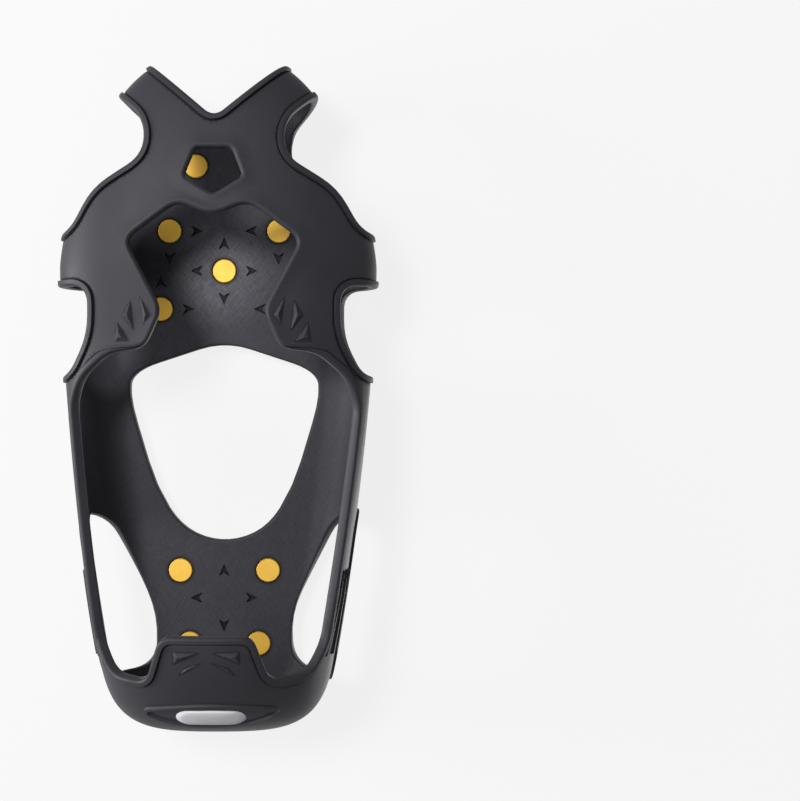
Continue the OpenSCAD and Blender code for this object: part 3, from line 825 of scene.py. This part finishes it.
# halves the edges longer than size near a measure's outline, so that its corners stay sharp
def refineNet(net, name, level, band, size):
    faces = net["faces"]
    near = (np.abs(net["fields"][name] - level) < band)[faces].any(axis=1)
    edges = netEdges(faces[near])
    points = sectionPoint(*net["place"].T)
    a, b = edges[np.linalg.norm(points[edges[:, 0]] - points[edges[:, 1]], axis=1) > size].T
    splitNet(net, a, b, np.full(len(a), 0.5), False)


# the net's places in the middle plane, where both halves meet
def inMiddle(v):
    return (v < tiny) | (v > 3 - tiny)


def rubberNet():
    net = startNet()
    y, v = net["place"].T
    net["fixed"] = inMiddle(v) | (y < net["firstRow"] + tiny)
    points = sectionPoint(y, v)
    edge = edgeDistances(points, outward(points), v)[0]
    net["fields"] = {"edge": edge}
    net["faces"] = net["faces"][edge[net["faces"]].max(axis=1) > -0.5]
    tidyNet(net)
    net["fields"] = measuresAt(net["place"])
    cutNet(net, "edge", 0.0, 0.3)
    net["faces"] = net["faces"][net["fields"]["edge"][net["faces"]].min(axis=1) > -1e-6]
    whole = net["fields"]["edge"][net["faces"]].max(axis=1) > 1e-6
    net["faces"] = net["faces"][whole]
    tidyNet(net)
    print("openings cut,", len(net["faces"]), "faces in the net")
    bevel = tread["bevel"]
    rim = grip["frameRim"]
    for size in rubber["fineSteps"]:
        for name in ("arrow", "rib", "strapRib"):
            refineNet(net, name, 0.0, size * rubber["fineReach"], size)
    refineNet(net, "rib", -0.7, 0.7, 0.5)
    refineNet(net, "dot", tread["dotR"], 0.8, 0.7)
    refineNet(net, "frame", -rim / 2, 1.6, 0.7)
    edgeLevels = [("edge", level) for level in (*rubber["edgeSteps"], rubber["edgeRound"])]
    levels = list(edgeLevels)
    levels += [("rimEdge", level) for level in rubber["grooveAt"]]
    levels += [("field", 0.0), ("field", -bevel)]
    pocket = tread["pocketR"]
    inner, outer = tread["bossShoulder"]
    levels += [("boss", r) for r in (tread["bossR"], tread["bossR"] - tread["bossEdge"], outer, inner)]
    levels += [("boss", r) for r in (pocket + tread["pocketEdge"], pocket)]
    levels += [("block", 0.0), ("block", -bevel)]
    levels += [("dot", tread["dotR"]), ("dot", tread["dotR"] - tread["dotEdge"])]
    levels += [("rib", grip["shadeW"]), ("rib", 0.0), ("rib", -grip["bevel"])]
    levels += [("strapRib", grip["shadeW"]), ("strapRib", 0.0), ("strapRib", -grip["strapBevel"])]
    slope = grip["frameEdge"]
    levels += [("frame", level) for level in (0.0, -slope, -rim + slope, -rim)]
    levels += [("arrow", 0.0), ("arrow", -tread["arrowEdge"])]
    for name, level in levels:
        cutNet(net, name, level)
    print("features cut,", len(net["faces"]), "faces in the net")
    return net


# height of the outer face over the rims' surface
def outerHeight(fields):
    rimH = rubber["rimH"]
    edge = fields["edge"]
    r = rubber["edgeRound"]
    bead = -r + np.sqrt(np.clip(r * r - np.clip(r - edge, 0, r) ** 2, 0, None))
    rimmed = fields["rimEdge"]
    start, bottom, end = rubber["grooveAt"]
    groove = rubber["grooveDeep"] * ramp(rimmed, bottom, end)
    groove -= (rimH + rubber["grooveDeep"]) * ramp(rimmed, start, bottom)
    lip = rubber["lipH"] * (1 - ramp(edge, r, rubber["lipW"])) ** 2
    lip = lip * ramp(rimmed - edge, *rubber["lipFade"])
    height = bead + groove + lip
    raised = -rimH + grip["ribH"] * ramp(-fields["rib"], 0, grip["bevel"])
    height = np.where(fields["rib"] < 0, np.maximum(height, raised), height)
    raised = -rimH + rimH * ramp(-fields["strapRib"], 0, grip["strapBevel"])
    height = np.where(fields["strapRib"] < 0, np.maximum(height, raised), height)
    rim = grip["frameRim"]
    slope = grip["frameEdge"]
    ring = ramp(-fields["frame"], 0, slope) * (1 - ramp(-fields["frame"], rim - slope, rim))
    panel = -rimH - grip["panelDeep"] * ramp(-fields["frame"], rim - slope, rim)
    height = np.where(fields["frame"] < 0, np.maximum(panel, -rimH + rimH * ring), height)
    bevel = tread["bevel"]
    floor = -rimH - tread["in"] * ramp(-fields["field"], 0, bevel)
    block = floor + (tread["in"] + tread["blockOut"]) * ramp(-fields["block"], 0, bevel)
    dotTop = tread["in"] + tread["dotOut"]
    dot = floor + dotTop * ramp(tread["dotR"] - fields["dot"], 0, tread["dotEdge"])
    sole = np.maximum(block, dot)
    height = np.where(fields["field"] < 0, sole, height)
    boss = fields["boss"]
    bossTop = tread["bossOut"] - rimH
    step = bossTop - tread["bossStep"] * ramp(boss, *tread["bossShoulder"])
    fall = ramp(boss, tread["bossR"] - tread["bossEdge"], tread["bossR"])
    bossSide = step - (step + rimH + tread["in"]) * fall
    height = np.where(boss < tread["bossR"], np.maximum(height, bossSide), height)
    pocketR = tread["pocketR"]
    mouthR = pocketR + tread["pocketEdge"]
    pocket = bossTop - tread["collarDeep"] * (1 - ramp(boss, pocketR, mouthR))
    return np.where(boss < mouthR, pocket, height)


# height of the inner face, which is below the rims' surface by the wall
def innerHeight(fields, normals):
    down = np.clip(-normals[:, 2], 0, None) ** 2
    base = -(rubber["rimH"] + rubber["wall"] + (rubber["sole"] - rubber["wall"]) * down)
    r = rubber["innerRound"]
    edge = np.clip(r - fields["edge"], 0, r)
    height = base + r - np.sqrt(r * r - edge ** 2)
    height = height + tread["arrowDeep"] * ramp(-fields["arrow"], 0, tread["arrowEdge"])
    pocketR = tread["pocketR"]
    return height + tread["headDeep"] * (1 - ramp(fields["boss"], pocketR, pocketR + tread["pocketEdge"]))


# closes the net into walls: outer and inner faces, edge walls, and caps over the heel's pole
def rubberShell(net):
    y, v = net["place"].T
    base = sectionPoint(y, v)
    normals = outward(base)
    outer = base + normals * outerHeight(net["fields"])[:, None]
    inner = base + normals * innerHeight(net["fields"], normals)[:, None]
    for side in (outer, inner):
        side[inMiddle(v), 0] = 0
    faces = net["faces"]
    a, b, c = (base[faces[:, k]] for k in range(3))
    facing = (np.cross(b - a, c - a) * normals[faces[:, 0]]).sum(axis=1)
    faces = np.where((facing < 0)[:, None], faces[:, ::-1], faces)
    count = len(base)
    directed = np.concatenate([faces[:, [0, 1]], faces[:, [1, 2]], faces[:, [2, 0]]])
    keys = directed.min(axis=1).astype(np.int64) * count + directed.max(axis=1)
    _, where, uses = np.unique(keys, return_index=True, return_counts=True)
    border = directed[where[uses == 1]]
    p, q = border.T
    seam = inMiddle(v[p]) & inMiddle(v[q])
    pole = (y[p] < net["firstRow"] + tiny) & (y[q] < net["firstRow"] + tiny)
    wall = border[~seam & ~pole]
    cap = border[pole]
    points = np.concatenate([outer, inner, [
        (0, heelY + rubber["rimH"], foldZ), (0, heelY + rubber["rimH"] + rubber["wall"], foldZ),
    ]])
    polygons = [tuple(f) for f in faces.tolist()]
    polygons += [(f[2] + count, f[1] + count, f[0] + count) for f in faces.tolist()]
    polygons += [(j, i, i + count, j + count) for i, j in wall.tolist()]
    polygons += [(j, i, 2 * count) for i, j in cap.tolist()]
    polygons += [(i + count, j + count, 2 * count + 1) for i, j in cap.tolist()]
    return points, polygons, rubberMarks(net)


# what the rubber's material reads at each point: inner faces, side bands, and painted shade in grooves, on
# the tread's floor, at the ribs' feet, in the arrowheads and round the stud heads
def rubberMarks(net):
    fields = net["fields"]
    shade = rubber["shade"]
    v = net["place"][:, 1]
    count = len(v)
    inside = np.concatenate([np.zeros(count), np.ones(count), [0, 1]])
    # masks of painted shade: the groove beside each rim, the tread's floor, the arrowheads and the ribs'
    # feet
    start, darkFrom, darkTo, end = rubber["grooveShade"]
    groove = ramp(fields["rimEdge"], start, darkFrom) * (1 - ramp(fields["rimEdge"], darkTo, end))
    floor = ramp(-fields["field"], 0, tread["bevel"]) * (fields["boss"] > tread["bossR"])
    floor = floor * (1 - ramp(-fields["block"], 0, tread["bevel"]))
    floor = floor * ramp(fields["dot"], tread["dotR"] - tread["dotEdge"], tread["dotR"])
    arrow = ramp(-fields["arrow"], 0, tread["arrowEdge"])
    rib = np.minimum(fields["rib"], fields["strapRib"])
    foot = ramp(grip["shadeW"] - rib, 0, grip["shadeFade"]) * ramp(rib, -grip["shadeFade"], 0)
    # a painted shadow ring round each stud head
    mouthR = tread["pocketR"] + tread["pocketEdge"]
    ring = shade["ring"] * (1 - ramp(fields["boss"], mouthR, tread["bossShoulder"][0]))
    # painted shade on the outer face, and on the inner face in the arrowheads and round the stud heads
    outerShade = np.maximum.reduce([shade["groove"] * groove, shade["floor"] * floor, shade["foot"] * foot])
    paintedShade = np.concatenate([outerShade, np.maximum(arrow, ring), [0, 0]])
    band = ramp(v, *rubber["bandFrom"]) * (1 - ramp(v, *rubber["bandTo"]))
    band = np.concatenate([band * ramp(fields["rimEdge"], *rubber["bandIn"]), np.zeros(count + 2)])
    return {"insideFace": inside, "sideBand": band, "paintedShade": paintedShade}


def toMetres(points):
    return (points - np.array([0, midY, 0])) * mm


# both halves as one mesh, welded along the middle
def mirroredMesh(name, points, polygons, marks):
    count = len(points)
    both = np.concatenate([points, points * (-1, 1, 1)])
    everything = polygons + [tuple(i + count for i in reversed(f)) for f in polygons]
    mesh = bpy.data.meshes.new(name)
    mesh.from_pydata(toMetres(both).tolist(), [], everything)
    for mark, values in marks.items():
        mesh.attributes.new(mark, "FLOAT", "POINT").data.foreach_set("value", np.tile(values, 2))
    shape = bmesh.new()
    shape.from_mesh(mesh)
    middle = [vert for vert in shape.verts if abs(vert.co.x) < 1e-7]
    bmesh.ops.remove_doubles(shape, verts=middle, dist=1e-7)
    shape.to_mesh(mesh)
    shape.free()
    mesh.update()
    return mesh


def addPiece(name, mesh, nodes, material):
    piece = bpy.data.objects.new(name, mesh)
    scene.collection.objects.link(piece)
    mesh.materials.append(material)
    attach(piece, "root")
    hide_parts(*nodes)


# sRGB hex to linear colour
def hexColour(text):
    shares = [int(text[k:k + 2], 16) / 255 for k in (1, 3, 5)]
    return [s / 12.92 if s <= 0.04045 else ((s + 0.055) / 1.055) ** 2.4 for s in shares] + [1.0]


def newMaterial(name):
    material = bpy.data.materials.new(name)
    material.use_nodes = True
    tree = material.node_tree
    tree.nodes.clear()
    return material, tree


# one node with its settings, and its inputs as values or as links from other nodes
def addNode(tree, kind, settings=None, inputs=None):
    node = tree.nodes.new(kind)
    for key, value in (settings or {}).items():
        setattr(node, key, value)
    for key, value in (inputs or {}).items():
        if isinstance(value, bpy.types.NodeSocket):
            tree.links.new(value, node.inputs[key])
        else:
            node.inputs[key].default_value = value
    return node


def perMetre(sizeMm):
    return 1 / (sizeMm * mm)


# moulded nitrile rubber, out of a blasted steel mould: charcoal, half matt, with fine grain,
# and pale scuffs where a boot treads, with a painted highlight on the insole under the ball
def mouldedRubber():
    finish = {
        "dark": "#27262b",
        "light": "#36353b",
        # colour of the painted shade in grooves, recesses and round the stud heads
        "deep": "#0e0d10",
        # pale colour of the scuffs, also used as a painted highlight under the ball
        "wearAndSheenColour": "#80808a",
        "cloudMm": 24,
        "grainMm": 0.7,  # the real grain is near 0.1 mm, drawn coarser so that it shows
        "meshMm": 1.1,
        "meshShare": 0.8,
        "strokeMm": 4,
        "wearAndSheenAt": (0, 44.0, 7.0),  # middle of the ball, where the sole of a boot rubs most and where the painted highlight is brightest
        "wearAndSheenR": 24,
        "wearAndSheenShare": (0.56, 0.06),  # under the ball, and far from it
        "strokeShare": (0.7, 0.1),
        "roughness": (0.42, 0.56),
    }
    material, tree = newMaterial("nitrileRubberMoulded")
    place = addNode(tree, "ShaderNodeTexCoord").outputs["Object"]
    inside = addNode(tree, "ShaderNodeAttribute", {"attribute_name": "insideFace"}).outputs["Fac"]
    cloud = addNode(tree, "ShaderNodeTexNoise", None, {
        "Vector": place, "Scale": perMetre(finish["cloudMm"]), "Detail": 6.0, "Roughness": 0.62,
    }).outputs["Fac"]
    tone = addNode(tree, "ShaderNodeMix", {"data_type": "RGBA"}, {
        "Factor": cloud, 6: hexColour(finish["dark"]), 7: hexColour(finish["light"]),
    }).outputs[2]
    # short crossed strokes, densest under the ball of the foot
    strokes = []
    for turn in (35, -40):
        turned = addNode(tree, "ShaderNodeMapping", {"vector_type": "TEXTURE"}, {
            "Vector": place, "Rotation": (0, 0, math.radians(turn)), "Scale": (0.14, 1, 1),
        }).outputs["Vector"]
        strokes.append(addNode(tree, "ShaderNodeTexNoise", None, {
            "Vector": turned, "Scale": perMetre(finish["strokeMm"]), "Detail": 4.0, "Roughness": 0.7,
        }).outputs["Fac"])
    crossed = addNode(tree, "ShaderNodeMath", {"operation": "MAXIMUM"}, {
        0: strokes[0], 1: strokes[1],
    }).outputs[0]
    spot = (finish["wearAndSheenAt"][0] * mm, (finish["wearAndSheenAt"][1] - midY) * mm, finish["wearAndSheenAt"][2] * mm)
    away = addNode(tree, "ShaderNodeVectorMath", {"operation": "DISTANCE"}, {
        0: place, 1: spot,
    }).outputs["Value"]
    # the pale share is highest at the middle of the ball: scuffs there, with a painted highlight over them
    shares = []
    for ball, beyond in (finish["strokeShare"], finish["wearAndSheenShare"]):
        shares.append(addNode(tree, "ShaderNodeMapRange", {"interpolation_type": "SMOOTHSTEP"}, {
            "Value": away, "From Min": 0.0, "From Max": finish["wearAndSheenR"] * mm,
            "To Min": ball, "To Max": beyond,
        }).outputs["Result"])
    patchy = addNode(tree, "ShaderNodeMapRange", {"clamp": True}, {
        "Value": crossed, "From Min": 0.4, "From Max": 0.75, "To Min": -0.5, "To Max": 0.5,
    }).outputs["Result"]
    wearAndSheen = addNode(tree, "ShaderNodeMath", {"operation": "MULTIPLY_ADD", "use_clamp": True}, {
        0: patchy, 1: shares[0], 2: shares[1],
    }).outputs[0]
    wearAndSheenInside = addNode(tree, "ShaderNodeMath", {"operation": "MULTIPLY"}, {
        0: wearAndSheen, 1: inside,
    }).outputs[0]
    wornAndSheen = addNode(tree, "ShaderNodeMix", {"data_type": "RGBA"}, {
        "Factor": wearAndSheenInside, 6: tone, 7: hexColour(finish["wearAndSheenColour"]),
    }).outputs[2]
    # painted shade darkens the grooves, the tread's floor, the rib feet, the arrowheads and the rings round
    # the stud heads
    paintedShade = addNode(tree, "ShaderNodeAttribute", {"attribute_name": "paintedShade"}).outputs["Fac"]
    colour = addNode(tree, "ShaderNodeMix", {"data_type": "RGBA"}, {
        "Factor": paintedShade, 6: wornAndSheen, 7: hexColour(finish["deep"]),
    }).outputs[2]
    rough = addNode(tree, "ShaderNodeMapRange", None, {
        "Value": cloud, "From Min": 0.3, "From Max": 0.7,
        "To Min": finish["roughness"][0], "To Max": finish["roughness"][1],
    }).outputs["Result"]
    grain = addNode(tree, "ShaderNodeTexNoise", None, {
        "Vector": place, "Scale": perMetre(finish["grainMm"]), "Detail": 3.0,
    }).outputs["Fac"]
    # woven look that the mould gives the side bands
    waves = []
    for turn in (45, -45):
        turned = addNode(tree, "ShaderNodeMapping", {"vector_type": "TEXTURE"}, {
            "Vector": place, "Rotation": (math.radians(turn), 0, math.radians(turn)),
        }).outputs["Vector"]
        waves.append(addNode(tree, "ShaderNodeTexWave", None, {
            "Vector": turned, "Scale": perMetre(finish["meshMm"]) / 20 * 2 * math.pi, "Distortion": 0.4,
        }).outputs["Fac"])
    woven = addNode(tree, "ShaderNodeMath", {"operation": "MULTIPLY"}, {
        0: waves[0], 1: waves[1],
    }).outputs[0]
    band = addNode(tree, "ShaderNodeAttribute", {"attribute_name": "sideBand"}).outputs["Fac"]
    mesh = addNode(tree, "ShaderNodeMath", {"operation": "MULTIPLY"}, {0: woven, 1: band}).outputs[0]
    relief = addNode(tree, "ShaderNodeMath", {"operation": "MULTIPLY_ADD"}, {
        0: mesh, 1: finish["meshShare"], 2: grain,
    }).outputs[0]
    bump = addNode(tree, "ShaderNodeBump", None, {
        "Strength": 0.3, "Distance": 0.15 * mm, "Height": relief,
    }).outputs["Normal"]
    shader = addNode(tree, "ShaderNodeBsdfPrincipled", None, {
        "Base Color": colour, "Roughness": rough, "Specular IOR Level": 0.16, "Normal": bump,
    }).outputs["BSDF"]
    addNode(tree, "ShaderNodeOutputMaterial", None, {"Surface": shader})
    return material


# a smooth surface with soft patches of colour and gloss over a fine grain
def cloudyFinish(name, finish):
    material, tree = newMaterial(name)
    place = addNode(tree, "ShaderNodeTexCoord").outputs["Object"]
    cloud = addNode(tree, "ShaderNodeTexNoise", None, {
        "Vector": place, "Scale": perMetre(finish["cloudMm"]), "Detail": finish["cloudDetail"],
    }).outputs["Fac"]
    tone = addNode(tree, "ShaderNodeMix", {"data_type": "RGBA"}, {
        "Factor": cloud, 6: hexColour(finish["pale"]), 7: hexColour(finish["deep"]),
    }).outputs[2]
    rough = addNode(tree, "ShaderNodeMapRange", None, {
        "Value": cloud, "To Min": finish["roughness"][0], "To Max": finish["roughness"][1],
    }).outputs["Result"]
    grain = addNode(tree, "ShaderNodeTexNoise", None, {
        "Vector": place, "Scale": perMetre(finish["grainMm"]), "Detail": 2.0,
    }).outputs["Fac"]
    bump = addNode(tree, "ShaderNodeBump", None, {
        "Strength": finish["grainStrength"], "Distance": finish["grainDeepMm"] * mm, "Height": grain,
    }).outputs["Normal"]
    shader = addNode(tree, "ShaderNodeBsdfPrincipled", None, {
        "Base Color": tone, "Metallic": finish["metallic"], "Roughness": rough, "Normal": bump,
    }).outputs["BSDF"]
    addNode(tree, "ShaderNodeOutputMaterial", None, {"Surface": shader})
    return material


# yellow passivated zinc plate on a stamped steel rivet: warm satin gold with faint cloudy patches
def yellowZinc():
    return cloudyFinish("steelYellowZincPlated", {
        "pale": "#ecc250",
        "deep": "#d9a537",
        "cloudMm": 3.5,
        "cloudDetail": 4.0,
        "grainMm": 0.35,
        "grainDeepMm": 0.05,
        "grainStrength": 0.15,
        "metallic": 0.45,  # the yellow film dulls the metal
        "roughness": (0.34, 0.48),
    })


# moulded soft PVC: smooth, light grey, half gloss, slightly mottled
def greyPlate():
    return cloudyFinish("softPvcMoulded", {
        "pale": "#e6e6e9",
        "deep": "#d6d6da",
        "cloudMm": 6,
        "cloudDetail": 3.0,
        "grainMm": 0.5,
        "grainDeepMm": 0.05,
        "grainStrength": 0.1,
        "metallic": 0.0,
        "roughness": (0.34, 0.46),
    })


# turned hard steel: bright, with fine rings round the pin
def turnedSteel():
    finish = {"bright": "#e2e4e6", "dull": "#b9bcc0", "ringMm": 0.25, "roughness": (0.2, 0.34)}
    material, tree = newMaterial("hardSteelTurned")
    place = addNode(tree, "ShaderNodeTexCoord").outputs["Object"]
    rings = addNode(tree, "ShaderNodeTexWave", {"bands_direction": "Z"}, {
        "Vector": place, "Scale": perMetre(finish["ringMm"]) / 20, "Distortion": 1.5, "Detail": 2.0,
    }).outputs["Fac"]
    tone = addNode(tree, "ShaderNodeMix", {"data_type": "RGBA"}, {
        "Factor": rings, 6: hexColour(finish["bright"]), 7: hexColour(finish["dull"]),
    }).outputs[2]
    rough = addNode(tree, "ShaderNodeMapRange", None, {
        "Value": rings, "To Min": finish["roughness"][0], "To Max": finish["roughness"][1],
    }).outputs["Result"]
    shader = addNode(tree, "ShaderNodeBsdfPrincipled", None, {
        "Base Color": tone, "Metallic": 1.0, "Roughness": rough,
    }).outputs["BSDF"]
    addNode(tree, "ShaderNodeOutputMaterial", None, {"Surface": shader})
    return material


# the overshoe
rubberMaterial = mouldedRubber()
overshoeMesh = mirroredMesh("overshoe", *rubberShell(rubberNet()))
addPiece("overshoe", overshoeMesh, ["rubber_overshoe"], rubberMaterial)
overshoeMesh.shade_smooth()
overshoeMesh.set_sharp_from_angle(angle=math.radians(42))
print("overshoe made,", len(overshoeMesh.polygons), "faces")


# the oval plate on the heel's back, curved with the rubber
badge = {
    "w": 22.0,
    "h": 8.4,
    "out": 0.5,
    "in": 0.9,
    "dome": 0.35,
    "edge": 0.45,
    "edgeFrom": 0.86,  # share of the way out at which the edge starts to fall
    "firstRing": 0.1,
    "sweep": 6,  # how fast the outline runs along its straight sides
    "rings": 10,
    "turns": 120,
}


def badgeMesh():
    half = badge["h"] / 2
    long = badge["w"] / 2 - half
    turns = np.linspace(0, 2 * math.pi, badge["turns"], endpoint=False)
    sweep = badge["sweep"]
    rimX = half * np.cos(turns) + long * np.tanh(sweep * np.cos(turns)) / math.tanh(sweep)
    rimUp = half * np.sin(turns)
    layers = []
    for share in np.linspace(badge["firstRing"], 1, badge["rings"]):
        fall = badge["edge"] * ramp(share, badge["edgeFrom"], 1) ** 2
        layers.append((share, badge["out"] + badge["dome"] * (1 - share ** 2) - fall))
    layers.append((1.0, -badge["in"]))
    points = []
    for share, height in layers:
        y = badgeAt + rimUp * share * math.cos(badgeLean)
        x = rimX * share
        power = form["upperPower"]
        top = np.clip(1 - (np.abs(x) / halfWidth(y)) ** power, 0, 1) ** (1 / power)
        base = np.stack([x, y, foldZ + (topZ(y) - foldZ) * top], axis=1)
        points.append(base + outward(base) * (height - rubber["rimH"]))
    middle = np.array([[0, badgeAt, badgeZ]])
    tip = middle + outward(middle) * (badge["out"] + badge["dome"] - rubber["rimH"])
    count = badge["turns"]
    points = np.concatenate(points + [tip])
    polygons = []
    for k in range(count):
        following = (k + 1) % count
        polygons.append((len(points) - 1, following, k))
        for ring in range(len(layers) - 1):
            a, b = ring * count + k, ring * count + following
            polygons.append((a, b, b + count, a + count))
    polygons.append(tuple(range((len(layers) - 1) * count, len(layers) * count)))
    mesh = bpy.data.meshes.new("heelPlate")
    mesh.from_pydata(toMetres(points).tolist(), [], polygons)
    shape = bmesh.new()
    shape.from_mesh(mesh)
    bmesh.ops.recalc_face_normals(shape, faces=shape.faces)
    shape.to_mesh(mesh)
    shape.free()
    mesh.shade_smooth()
    mesh.set_sharp_from_angle(angle=math.radians(50))
    return mesh


addPiece("heelPlate", badgeMesh(), ["heel_reflector"], greyPlate())
print("heel plate made")

# the studs keep their CAD shapes and get their finishes
zinc = yellowZinc()
steel = turnedSteel()
for name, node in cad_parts.items():
    if name.startswith("stud_"):
        node.data.materials.clear()
        node.data.materials.append(steel if name.startswith("stud_spike") else zinc)
print("studs finished")

# floor, lamps and camera
stage = {
    "floorColour": "#f8f8f8",
    "floorMottle": "#f7f7f7",
    "mottleMm": 120,
    "floorSize": 40.0,
    "shadowShare": 0.1,
    "worldLight": 0.12,
    "keyPower": 9.5,
    "keySize": 0.35,
    "keyAt": (-0.42, 0.34, 1.0),
    "sidePower": 14.0,
    "sideSize": 0.5,
    "sideAt": (-1.0, 0.05, 0.26),
    "lowPower": 7.0,  # stands for light off the table, on the shaded side and the tread
    "lowSize": 0.6,
    "lowAt": (0.65, -0.25, -0.7),
    "aim": (0.0, 0.0, 0.02),
}


# the rays that show the pale background: straight from the camera, mirrored, or through glass
def seenRays(tree):
    path = addNode(tree, "ShaderNodeLightPath").outputs
    seen = path["Is Camera Ray"]
    for kind in ("Is Glossy Ray", "Is Transmission Ray"):
        seen = addNode(tree, "ShaderNodeMath", {"operation": "MAXIMUM"}, {
            0: seen, 1: path[kind],
        }).outputs[0]
    return seen


# pale painted board: plain to the camera and in reflections, with a faint shadow,
# and open to bounced light and from below
def paintedBoard():
    material, tree = newMaterial("boardPainted")
    place = addNode(tree, "ShaderNodeTexCoord").outputs["Object"]
    mottle = addNode(tree, "ShaderNodeTexNoise", None, {
        "Vector": place, "Scale": perMetre(stage["mottleMm"]),
    }).outputs["Fac"]
    tone = addNode(tree, "ShaderNodeMix", {"data_type": "RGBA"}, {
        "Factor": mottle, 6: hexColour(stage["floorColour"]), 7: hexColour(stage["floorMottle"]),
    }).outputs[2]
    matt = addNode(tree, "ShaderNodeBsdfDiffuse", None, {"Color": tone}).outputs["BSDF"]
    plain = addNode(tree, "ShaderNodeEmission", None, {"Color": tone, "Strength": 1.0}).outputs["Emission"]
    board = addNode(tree, "ShaderNodeMixShader", None, {
        0: stage["shadowShare"], 1: plain, 2: matt,
    }).outputs["Shader"]
    clear = addNode(tree, "ShaderNodeBsdfTransparent").outputs["BSDF"]
    behind = addNode(tree, "ShaderNodeNewGeometry").outputs["Backfacing"]
    shown = addNode(tree, "ShaderNodeMath", {"operation": "SUBTRACT", "use_clamp": True}, {
        0: seenRays(tree), 1: behind,
    }).outputs[0]
    mixed = addNode(tree, "ShaderNodeMixShader", None, {0: shown, 1: clear, 2: board}).outputs["Shader"]
    addNode(tree, "ShaderNodeOutputMaterial", None, {"Surface": mixed})
    return material


def addFloor():
    half = stage["floorSize"] / 2
    mesh = bpy.data.meshes.new("floor")
    corners = [(-half, -half, 0), (half, -half, 0), (half, half, 0), (-half, half, 0)]
    mesh.from_pydata(corners, [], [(0, 1, 2, 3)])
    mesh.materials.append(paintedBoard())
    floor = bpy.data.objects.new("floor", mesh)
    scene.collection.objects.link(floor)
    floor.location.z = -0.2 * mm  # just clear of the spike tips


def addLamp(name, at, size, power):
    data = bpy.data.lights.new(name, "AREA")
    data.shape = "DISK"
    data.size = size
    data.energy = power
    lamp = bpy.data.objects.new(name, data)
    scene.collection.objects.link(lamp)
    lamp.location = at
    way = lamp.location - Vector(stage["aim"])
    lamp.rotation_euler = way.to_track_quat("Z", "Y").to_euler()


def addWorld():
    world = bpy.data.worlds.new("studio")
    world.use_nodes = True
    tree = world.node_tree
    tree.nodes.clear()
    light = addNode(tree, "ShaderNodeBackground", None, {
        "Color": hexColour("#ffffff"), "Strength": stage["worldLight"],
    }).outputs["Background"]
    white = addNode(tree, "ShaderNodeBackground", None, {
        "Color": hexColour(stage["floorColour"]), "Strength": 1.0,
    }).outputs["Background"]
    mixed = addNode(tree, "ShaderNodeMixShader", None, {
        0: seenRays(tree), 1: light, 2: white,
    }).outputs["Shader"]
    addNode(tree, "ShaderNodeOutputWorld", None, {"Surface": mixed})
    scene.world = world


addFloor()
addWorld()
addLamp("keyLamp", stage["keyAt"], stage["keySize"], stage["keyPower"])
addLamp("sideLamp", stage["sideAt"], stage["sideSize"], stage["sidePower"])
addLamp("lowLamp", stage["lowAt"], stage["lowSize"], stage["lowPower"])

# the camera hangs straight over the middle of the picture, with the toe up
view = {"at": (0.059, -0.0013, 0.52), "lens": 68.76, "sensor": 36.0}
cameraData = bpy.data.cameras.new("overhead")
cameraData.lens = view["lens"]
cameraData.sensor_fit = "HORIZONTAL"
cameraData.sensor_width = view["sensor"]
cameraData.clip_start = 0.01
camera = bpy.data.objects.new("overhead", cameraData)
scene.collection.objects.link(camera)
camera.location = view["at"]
scene.camera = camera
scene.view_settings.view_transform = "Standard"
print("stage set")
